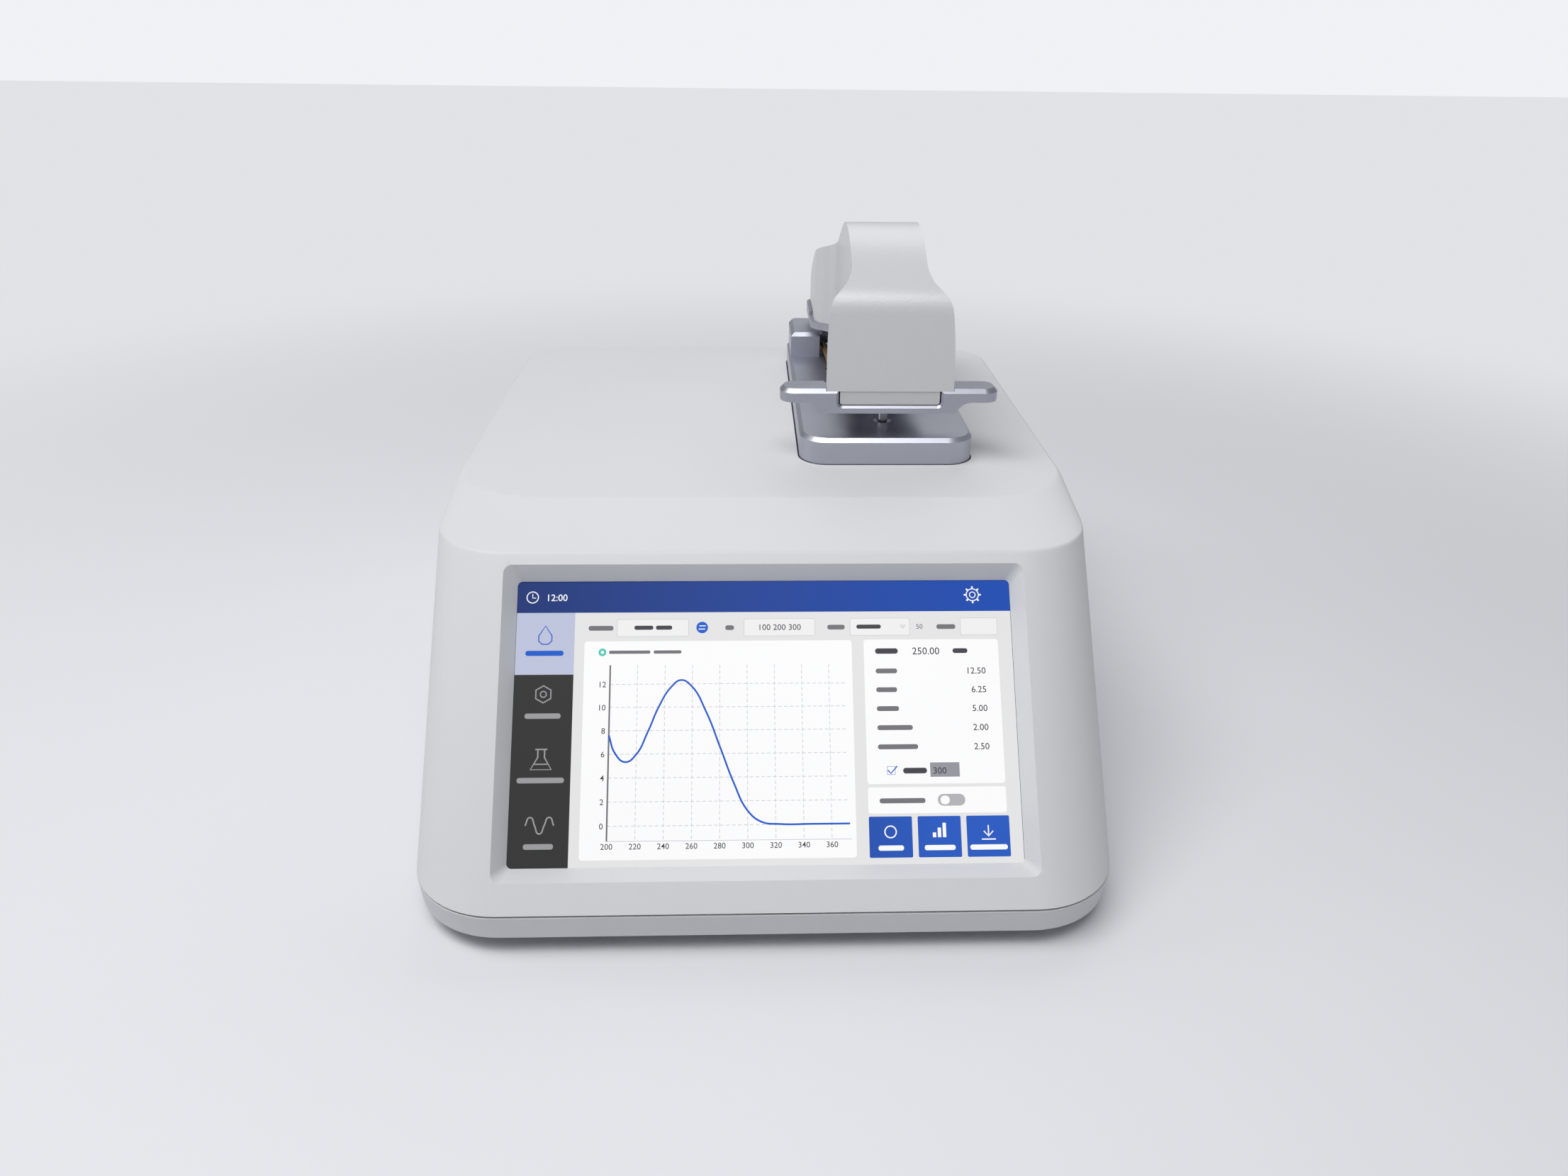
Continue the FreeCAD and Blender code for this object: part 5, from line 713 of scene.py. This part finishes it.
# Entry fields, each a light plate on a darker edge
FIELDS = [(30.7, 52.7), (69.6, 91.6), (102.4, 121.0), (136.7, 148.3)]
FIELD_TOP = 11.9
FIELD_BOTTOM = 17.4
FIELD_RIM = 0.15
picture = bmesh.new()
for left, right in FIELDS:
    add_plate(picture, left, FIELD_TOP, right, FIELD_BOTTOM, CARD, radius=0.5)
close_picture("picture_field_edges", picture, FIELD_EDGE)
picture = bmesh.new()
for left, right in FIELDS:
    add_plate(
        picture, left + FIELD_RIM, FIELD_TOP + FIELD_RIM, right - FIELD_RIM,
        FIELD_BOTTOM - FIELD_RIM, INK, radius=0.4,
    )
close_picture("picture_fields", picture, FIELD_GREY)

# Graph grid: dashed lines and the lower axis
GRAPH_LEFT = 28.9
GRAPH_RIGHT = 101.5
GRAPH_TOP = 26.2
GRAPH_BOTTOM = 78.8
COLUMNS = 9
COLUMN_PITCH = 8.33
ROWS = 7
ROW_TOP = 32.1
ROW_PITCH = 7.05
DASH = 1.1
DASH_PITCH = DASH * 1.6
DASHES_DOWN = 30
DASHES_ACROSS = 41
GRID_HALF = 0.1
AXIS_HALF = 0.25
picture = bmesh.new()
for column in range(1, COLUMNS):
    x = GRAPH_LEFT + column * COLUMN_PITCH
    for dash in range(DASHES_DOWN):
        y = GRAPH_TOP + dash * DASH_PITCH
        add_plate(picture, x - GRID_HALF, y, x + GRID_HALF, y + DASH, INK)
for row in range(ROWS):
    y = ROW_TOP + row * ROW_PITCH
    for dash in range(DASHES_ACROSS):
        x = GRAPH_LEFT + dash * DASH_PITCH
        add_plate(picture, x, y - GRID_HALF, x + DASH, y + GRID_HALF, INK)
add_plate(picture, GRAPH_LEFT, GRAPH_BOTTOM - GRID_HALF, GRAPH_RIGHT, GRAPH_BOTTOM + GRID_HALF, INK)
close_picture("picture_grid", picture, GRID_GREY)

# Grey writing: the upright axis, and bars for the words beside fields and figures
TOOL_ROW = 14.6
LABEL_ROW = 14.7
TITLE_ROW = 22.2
LIST_LEFT = 110.0
LIST_TOP = 28.5
LIST_PITCH = 5.8
picture = bmesh.new()
add_plate(picture, GRAPH_LEFT - AXIS_HALF, GRAPH_TOP, GRAPH_LEFT + AXIS_HALF, GRAPH_BOTTOM, TOP_INK)
for left, right in ((22.0, 29.6), (63.9, 66.6), (95.4, 100.8), (129.3, 135.2)):
    add_bar(picture, left, LABEL_ROW, right, INK, thickness=1.5)
add_figures(picture, "50", 122.9, TOOL_ROW, height=1.5, layer=INK)
add_bar(picture, 28.4, TITLE_ROW, 41.0, INK, thickness=1.0)
add_bar(picture, 42.0, TITLE_ROW, 50.5, INK, thickness=1.0)
for row, width in enumerate((6.6, 6.4, 6.8, 10.8, 12.2)):
    add_bar(picture, LIST_LEFT, LIST_TOP + LIST_PITCH * row, LIST_LEFT + width, INK, thickness=1.5)
add_bar(picture, LIST_LEFT, 67.8, 123.8, INK, thickness=1.5)
close_picture("picture_grey_writing", picture, INK_MID)

# Dark writing: the numbers along the axes, in the fields and in the list, and a few dark bars
FIRST_LEVEL = 12
LEVEL_STEP = 2
FIRST_WAVELENGTH = 200
WAVELENGTH_STEP = 20
LIST_RIGHT = 144.0
LIST_HEAD = 22.3
VALUE_ROW = 58.9
picture = bmesh.new()
for row in range(ROWS):
    number = str(FIRST_LEVEL - LEVEL_STEP * row)
    add_figures(
        picture, number, GRAPH_LEFT - 1.1, ROW_TOP + row * ROW_PITCH,
        height=1.75, layer=INK, align="RIGHT",
    )
for column in range(COLUMNS):
    number = str(FIRST_WAVELENGTH + WAVELENGTH_STEP * column)
    add_figures(
        picture, number, GRAPH_LEFT + column * COLUMN_PITCH, 80.3,
        height=1.7, layer=INK, align="CENTER",
    )
for left, right in ((36.0, 41.8), (42.6, 47.6)):
    add_bar(picture, left, TOOL_ROW, right, TOP_INK, thickness=1.3)
add_figures(picture, "100 200 300", 80.6, TOOL_ROW, height=1.85, layer=TOP_INK, align="CENTER")
add_bar(picture, 104.4, TOOL_ROW, 112.0, TOP_INK, thickness=1.3)
add_bar(picture, LIST_LEFT, LIST_HEAD, 117.0, INK, thickness=1.7)
add_figures(picture, "250.00", 121.4, LIST_HEAD, height=2.2, layer=INK)
add_bar(picture, 134.0, LIST_HEAD, 138.6, INK, thickness=1.5)
for row, number in enumerate(("12.50", "6.25", "5.00", "2.00", "2.50")):
    add_figures(
        picture, number, LIST_RIGHT, LIST_TOP + LIST_PITCH * row,
        height=1.95, layer=INK, align="RIGHT",
    )
add_bar(picture, 117.4, VALUE_ROW, 124.6, INK, thickness=1.7)
add_figures(picture, "300", 126.4, VALUE_ROW, height=1.95, layer=TOP_INK)
close_picture("picture_dark_writing", picture, INK_DARK)

# Grey field behind one figure, and the toggle with the mark of a list to open
picture = bmesh.new()
add_plate(picture, 125.6, 56.5, 134.5, 60.8, INK)
close_picture("picture_value_field", picture, VALUE_GREY)
picture = bmesh.new()
add_plate(picture, 127.5, 65.9, 135.8, 69.4, INK, radius=1.7)
add_line(
    picture, [(118.1, 14.2), (119.5, 14.2), (118.8, 15.1)], width=0.3, layer=TOP_INK, closed=True,
)
close_picture("picture_toggle", picture, TOGGLE_GREY)

# Blue drawing: the measured curve, a ticked box, a round button and the open tab's drop
MENU_MIDDLE = 8.9
CURVE = [
    (28.9, 47.5), (31.0, 53.2), (34.0, 55.6), (37.0, 53.6), (40.5, 46.8), (44.0, 38.6),
    (47.5, 33.0), (50.5, 30.9), (53.5, 32.6), (58.0, 40.4), (62.5, 51.8), (66.5, 62.2),
    (70.5, 70.2), (74.5, 73.5), (80.0, 74.25), (90.0, 74.3), (101.0, 74.3),
]
TICK = [(112.8, 58.7), (113.7, 59.7), (115.6, 57.5)]
TICK_BOX = [(112.6, 57.6), (115.0, 57.6), (115.0, 60.0), (112.6, 60.0)]
DROP = [
    (8.9, 13.9), (6.9, 17.0), (6.9, 18.6), (8.0, 19.6), (9.8, 19.6), (10.9, 18.6), (10.9, 17.0),
]
picture = bmesh.new()
add_line(picture, CURVE, width=0.56, layer=CURVE_INK, smooth=True)
add_line(picture, TICK, width=0.4, layer=TOP_INK)
add_line(picture, TICK_BOX, width=0.16, layer=INK, closed=True)
add_plate(picture, 55.0, 12.8, 58.6, 16.4, INK, radius=1.75)
add_line(picture, DROP, width=0.36, layer=INK, closed=True)
add_bar(picture, 3.0, 22.4, 14.6, INK, thickness=1.6)
close_picture("picture_blue_drawing", picture, INK_BLUE)

# Menu signs: a hexagon, a flask and a wave, each over its bar
SIGN_WEIGHT = 0.42
FINE_SIGN_WEIGHT = 0.36
HEXAGON_ROW = 35.0
FLASK = [(7.9, 51.6), (7.9, 54.0), (5.8, 57.6), (12.0, 57.6), (9.9, 54.0), (9.9, 51.6)]
WAVE = [
    (4.9, 74.0), (6.3, 71.6), (7.7, 74.0), (9.1, 76.4), (10.5, 74.0), (11.9, 71.6), (13.3, 74.0),
]
hexagon = [around(MENU_MIDDLE, HEXAGON_ROW, 2.6, math.radians(a)) for a in range(30, 390, 60)]
picture = bmesh.new()
add_line(picture, hexagon, width=SIGN_WEIGHT, layer=INK, closed=True)
add_ring(picture, MENU_MIDDLE, HEXAGON_ROW, radius=0.9, width=FINE_SIGN_WEIGHT, layer=INK)
add_line(picture, FLASK, width=SIGN_WEIGHT, layer=INK)
add_line(picture, [(7.1, 51.6), (10.7, 51.6)], width=SIGN_WEIGHT, layer=INK)
add_line(picture, [(6.9, 56.0), (10.9, 56.0)], width=FINE_SIGN_WEIGHT, layer=INK)
add_line(picture, WAVE, width=SIGN_WEIGHT, layer=INK, smooth=True)
for middle, half in ((41.6, 5.4), (60.8, 7.0), (80.1, 4.4)):
    add_bar(picture, MENU_MIDDLE - half, middle, MENU_MIDDLE + half, INK, thickness=1.6)
close_picture("picture_menu_signs", picture, MENU_GREY)

# Three blue keys
KEYS = [106.6, 121.2, 135.8]
KEY_WIDTH = 12.9
KEY_TOP = 72.4
KEY_BOTTOM = 84.4
KEY_RIGHT = (0.026, 0.108, 0.53)
KEY_START = -0.02
KEY_SPAN = 0.07
picture = bmesh.new()
for left in KEYS:
    add_plate(picture, left, KEY_TOP, left + KEY_WIDTH, KEY_BOTTOM, CARD, radius=0.4)
close_picture("picture_keys", picture, HEADER_LEFT, KEY_RIGHT, KEY_START, KEY_SPAN)

# White signs: on the header a clock, its figures and a toothed wheel; on the keys a ring,
# three columns and an arrow, each over its bar; and two strokes on the round button
SIGN_WHITE = (0.95, 0.96, 0.98)
WHEEL_X = 141.0
WHEEL_Y = 4.6
WHEEL_RADIUS = 1.9
TOOTH_TIP = 2.7
TEETH = 8
COLUMN_STEP = 1.5
COLUMN_RISE = 1.4
COLUMN_FOOT = 78.6
picture = bmesh.new()
add_ring(picture, 4.6, 4.9, radius=1.75, width=0.3, layer=INK)
add_line(picture, [(4.6, 3.8), (4.6, 5.1), (5.6, 5.1)], width=0.26, layer=INK)
add_figures(picture, "12:00", 8.7, 5.0, height=2.1, layer=INK)
for tooth in range(TEETH):
    turn = math.radians(360 / TEETH * tooth)
    root = around(WHEEL_X, WHEEL_Y, WHEEL_RADIUS, turn)
    tip = around(WHEEL_X, WHEEL_Y, TOOTH_TIP, turn)
    add_line(picture, [root, tip], width=0.5, layer=INK)
add_ring(picture, WHEEL_X, WHEEL_Y, radius=WHEEL_RADIUS, width=0.3, layer=INK)
add_ring(picture, WHEEL_X, WHEEL_Y, radius=0.9, width=0.28, layer=INK, count=18)
add_line(picture, [(55.9, 14.1), (57.9, 14.1)], width=0.3, layer=TOP_INK)
add_line(picture, [(55.7, 15.1), (57.7, 15.1)], width=0.3, layer=TOP_INK)
add_ring(picture, 113.0, 76.9, radius=1.7, width=FINE_SIGN_WEIGHT, layer=INK)
for column in range(3):
    left = 125.6 + COLUMN_STEP * column
    right = 126.6 + COLUMN_STEP * column
    add_plate(picture, left, COLUMN_FOOT - COLUMN_RISE * (column + 1), right, COLUMN_FOOT, INK)
add_line(picture, [(142.3, 75.2), (142.3, 78.2)], width=FINE_SIGN_WEIGHT, layer=INK)
add_line(picture, [(140.9, 76.9), (142.3, 78.4), (143.7, 76.9)], width=FINE_SIGN_WEIGHT, layer=INK)
add_line(picture, [(140.2, 79.3), (144.4, 79.3)], width=FINE_SIGN_WEIGHT, layer=INK)
for left, half in zip(KEYS, (3.8, 4.6, 5.6)):
    middle = left + KEY_WIDTH / 2
    add_bar(picture, middle - half, 81.6, middle + half, INK, thickness=1.5)
close_picture("picture_white_signs", picture, SIGN_WHITE)

# Ring before the graph's title
picture = bmesh.new()
add_ring(picture, 26.4, TITLE_ROW, radius=0.85, width=0.7, layer=INK, count=20)
close_picture("picture_bullet", picture, BULLET_TEAL)

# ------------------------------------------------------------------ rear panel and sockets
# A painted steel plate in the back wall, with the mains switch, the power socket and the
# tinned steel data sockets of the main board behind its cut-outs.
PANEL_PAINT = (0.30, 0.31, 0.33, 1)
SOCKET_BLACK = (0.028, 0.028, 0.030, 1)
panel_paint = finish(
    "panel_paint", grain_group,
    {"Colour": PANEL_PAINT, "Tone": 0.06, "Grain": 1500.0, "Gloss": 0.45, "Gloss change": 0.1},
    depth=0.00002,
)
socket_plastic = finish(
    "socket_plastic", grain_group,
    {"Colour": SOCKET_BLACK, "Tone": 0.2, "Grain": 2200.0, "Gloss": 0.38, "Gloss change": 0.1},
    depth=0.00001,
)
dress(panel_paint, "rear_panel")
dress(zinc_plate, "network_socket", "usb_sockets")
dress(socket_plastic, "power_switch_body", "power_rocker", "power_socket")

# ------------------------------------------------------------------ optics inside the housing
# Black anodised spectrometer and lamp bodies on posts, joined to the pedestals by jacketed
# fibres with brass couplings. The machined frame above them carries the plinth.
ANODISED_BLACK = (0.030, 0.031, 0.034, 1)
FRAME_ALUMINIUM = (0.62, 0.63, 0.65, 1)
BRASS_YELLOW = (0.66, 0.47, 0.17, 1)
MIRROR_SILVER = (0.75, 0.77, 0.80, 1)
JACKET_BLACK = (0.022, 0.022, 0.024, 1)
anodised = finish(
    "anodised", metal_group,
    {"Colour": ANODISED_BLACK, "Tone": 0.2, "Pits": 2500.0, "Gloss": 0.42, "Gloss change": 0.1},
    depth=0.000006, metallic=0.6,
)
machined = finish(
    "machined", metal_group,
    {"Colour": FRAME_ALUMINIUM, "Tone": 0.06, "Pits": 900.0, "Gloss": 0.34, "Gloss change": 0.16},
    depth=0.000005, metallic=1.0,
)
brass = finish(
    "brass", metal_group,
    {"Colour": BRASS_YELLOW, "Tone": 0.08, "Pits": 1200.0, "Gloss": 0.26, "Gloss change": 0.14},
    depth=0.000004, metallic=1.0,
)
mirror_glass = finish(
    "mirror_glass", metal_group,
    {"Colour": MIRROR_SILVER, "Tone": 0.03, "Pits": 300.0, "Gloss": 0.06, "Gloss change": 0.04},
    depth=0.0, metallic=1.0,
)
jacket = finish(
    "jacket", grain_group,
    {"Colour": JACKET_BLACK, "Tone": 0.2, "Grain": 1600.0, "Gloss": 0.5, "Gloss change": 0.1},
    depth=0.00001,
)
dress(anodised, "spectrometer_case", "spectrometer_lid", "xenon_lamp")
dress(mirror_glass, "spectrometer_optics")
dress(brass, "fibre_couplings")
dress(jacket, "source_fibre", "return_fibre", "arm_fibre", "fibre_gland")
dress(machined, "optics_frame")

# ------------------------------------------------------------------ plinth and pedestals
# One block of aluminium, milled, bead blasted and clear anodised, with a bright cut chamfer.
# Two polished steel pedestals meet under the arm, and a plunger sets the gap between them.
PLINTH_GREY = (0.485, 0.495, 0.56, 1)
STEEL_GREY = (0.60, 0.60, 0.61, 1)
MOTOR_GREY = (0.45, 0.45, 0.46, 1)
CUT_EDGE = 0.00012
MARK_CONTRAST = 0.12
blasted = finish(
    "blasted", metal_group,
    {"Colour": PLINTH_GREY, "Tone": 0.10, "Pits": 2600.0, "Gloss": 0.40, "Gloss change": 0.12},
    depth=0.000012, metallic=1.0,
)

# Lathe work: rings of fine tool marks along the piece's upright axis
turned_group, turned_in, turned_out = new_group(
    "turned_metal",
    [("Colour", MIDDLE_GREY), ("Marks", 9000.0), ("Gloss", 0.22), ("Gloss change", 0.10)],
    SURFACE_OUTPUTS,
)
turned_place = turned_group.nodes.new("ShaderNodeTexCoord").outputs["Object"]
turned_split = turned_group.nodes.new("ShaderNodeSeparateXYZ")
turned_group.links.new(turned_place, turned_split.inputs[0])
turned_line = turned_group.nodes.new("ShaderNodeCombineXYZ")
turned_group.links.new(turned_split.outputs["Z"], turned_line.inputs["Z"])
turned_marks = add_noise(turned_group, turned_line.outputs[0], turned_in.outputs["Marks"])
turned_shift = add_sum(turned_group, "SUBTRACT", turned_marks, 0.5)
turned_tone = add_sum(turned_group, "MULTIPLY_ADD", turned_shift, MARK_CONTRAST, 1.0)
turned_colour = add_shade(turned_group, turned_in.outputs["Colour"], turned_tone)
turned_group.links.new(turned_colour, turned_out.inputs["Colour"])
turned_gloss = add_sum(
    turned_group, "MULTIPLY_ADD",
    turned_shift, turned_in.outputs["Gloss change"], turned_in.outputs["Gloss"],
)
turned_group.links.new(turned_gloss, turned_out.inputs["Roughness"])
turned_group.links.new(turned_marks, turned_out.inputs["Height"])

turned_steel = finish(
    "turned_steel", turned_group, {"Colour": STEEL_GREY},
    depth=0.000003, metallic=1.0,
)
motor_plate = finish(
    "motor_plate", turned_group, {"Colour": MOTOR_GREY, "Marks": 2500.0, "Gloss": 0.35},
    depth=0.000004, metallic=1.0,
)
dress(blasted, "arm_plinth")
soften(CUT_EDGE, "arm_plinth")
dress(foot_rubber, "pedestal_seal", "arm_stop_pad")
dress(turned_steel, "lower_pedestal", "path_plunger")
dress(turned_steel, "upper_pedestal", "pedestal_nut", "locating_pin")
dress(motor_plate, "path_motor_body", "path_motor_rotor")
dress(turned_steel, "arm_magnet")

# ------------------------------------------------------------------ hinge
# Two aluminium blocks screwed to the plinth hold a ground steel shaft. Bronze bushes turn on
# it, friction washers hold the arm open, and an amber fibre jacket climbs to the left block.
BRONZE_BROWN = (0.50, 0.30, 0.14, 1)
bronze = finish(
    "bronze", metal_group,
    {"Colour": BRONZE_BROWN, "Tone": 0.15, "Pits": 1800.0, "Gloss": 0.42, "Gloss change": 0.12},
    depth=0.000008, metallic=1.0,
)
dress(blasted, "hinge_block_left", "hinge_block_right")
soften(CUT_EDGE, "hinge_block_left", "hinge_block_right")
dress(turned_steel, "hinge_shaft", "shaft_caps", "hinge_set_screws", "friction_washers")
dress(zinc_plate, "hinge_block_screws")
dress(bronze, "hinge_bushes")

# The jacket is amber; it darkens to red brown towards the block, which is painted shade from the
# arm above it
LEAD_AMBER = (0.36, 0.20, 0.03, 1)
LEAD_SHADE_BROWN = (0.12, 0.035, 0.02, 1)
LEAD_GRAIN = 1500.0
LEAD_FOOT = 0.113
LEAD_RISE = 0.008
DARKEST_TONE = 0.85
TONE_RANGE = 0.3
JACKET_ROUGHNESS = 0.25
ROUGHNESS_RANGE = 0.1
lead_group, lead_in, lead_out = new_group(
    "amber_jacket",
    [
        ("Low colour", MIDDLE_GREY), ("Shaded colour", MIDDLE_GREY),
        ("Low", LEAD_FOOT), ("Rise", LEAD_RISE),
    ],
    SURFACE_OUTPUTS,
)
lead_place = lead_group.nodes.new("ShaderNodeTexCoord").outputs["Object"]
lead_split = lead_group.nodes.new("ShaderNodeSeparateXYZ")
lead_group.links.new(lead_place, lead_split.inputs[0])
lead_climb = add_sum(lead_group, "SUBTRACT", lead_split.outputs["Z"], lead_in.outputs["Low"])
lead_share = add_sum(lead_group, "DIVIDE", lead_climb, lead_in.outputs["Rise"])
lead_mix = lead_group.nodes.new("ShaderNodeMix")
lead_mix.data_type = "RGBA"
lead_mix.clamp_factor = True
lead_group.links.new(lead_share, lead_mix.inputs["Factor"])
lead_group.links.new(lead_in.outputs["Low colour"], lead_mix.inputs["A"])
lead_group.links.new(lead_in.outputs["Shaded colour"], lead_mix.inputs["B"])
lead_noise = add_noise(lead_group, lead_place, LEAD_GRAIN)
lead_tone = add_sum(lead_group, "MULTIPLY_ADD", lead_noise, TONE_RANGE, DARKEST_TONE)
lead_colour = add_shade(lead_group, lead_mix.outputs["Result"], lead_tone)
lead_group.links.new(lead_colour, lead_out.inputs["Colour"])
lead_gloss = add_sum(
    lead_group, "MULTIPLY_ADD", lead_noise, ROUGHNESS_RANGE, JACKET_ROUGHNESS
)
lead_group.links.new(lead_gloss, lead_out.inputs["Roughness"])
lead_group.links.new(lead_noise, lead_out.inputs["Height"])
amber = finish(
    "amber", lead_group, {"Low colour": LEAD_AMBER, "Shaded colour": LEAD_SHADE_BROWN},
    depth=0.000006,
)
dress(amber, "arm_lead")

# ------------------------------------------------------------------ arm
# A machined aluminium chassis and finger bar carry the white moulded hood, which two pairs of
# screws hold from below. The pin under the bar drops into the plinth when the arm closes.
HOOD_WHITE = (0.585, 0.595, 0.610, 1)
# The chassis and finger bar are the plinth's blasted aluminium drawn darker, which is painted shade
# from the hood above them
ARM_METAL_SHADED_GREY = (0.42, 0.43, 0.49, 1)
HOOD_EDGE = 0.0005
hood_skin = finish(
    "hood_skin", grain_group,
    {"Colour": HOOD_WHITE, "Tone": 0.025, "Grain": 1600.0, "Gloss": 0.33, "Gloss change": 0.08},
    depth=0.000055, sockets={"Specular IOR Level": 1.0},
)
arm_metal_painted_shade = finish(
    "arm_metal_painted_shade", metal_group,
    {"Colour": ARM_METAL_SHADED_GREY, "Tone": 0.10, "Pits": 2600.0, "Gloss": 0.38, "Gloss change": 0.12},
    depth=0.000012, metallic=1.0,
)
dress(hood_skin, "arm_hood")
dress(arm_metal_painted_shade, "arm_chassis", "arm_handle")
dress(turned_steel, "handle_screws", "hood_screws")
soften(HOOD_EDGE, "arm_hood")
soften(CUT_EDGE, "arm_chassis", "arm_handle")
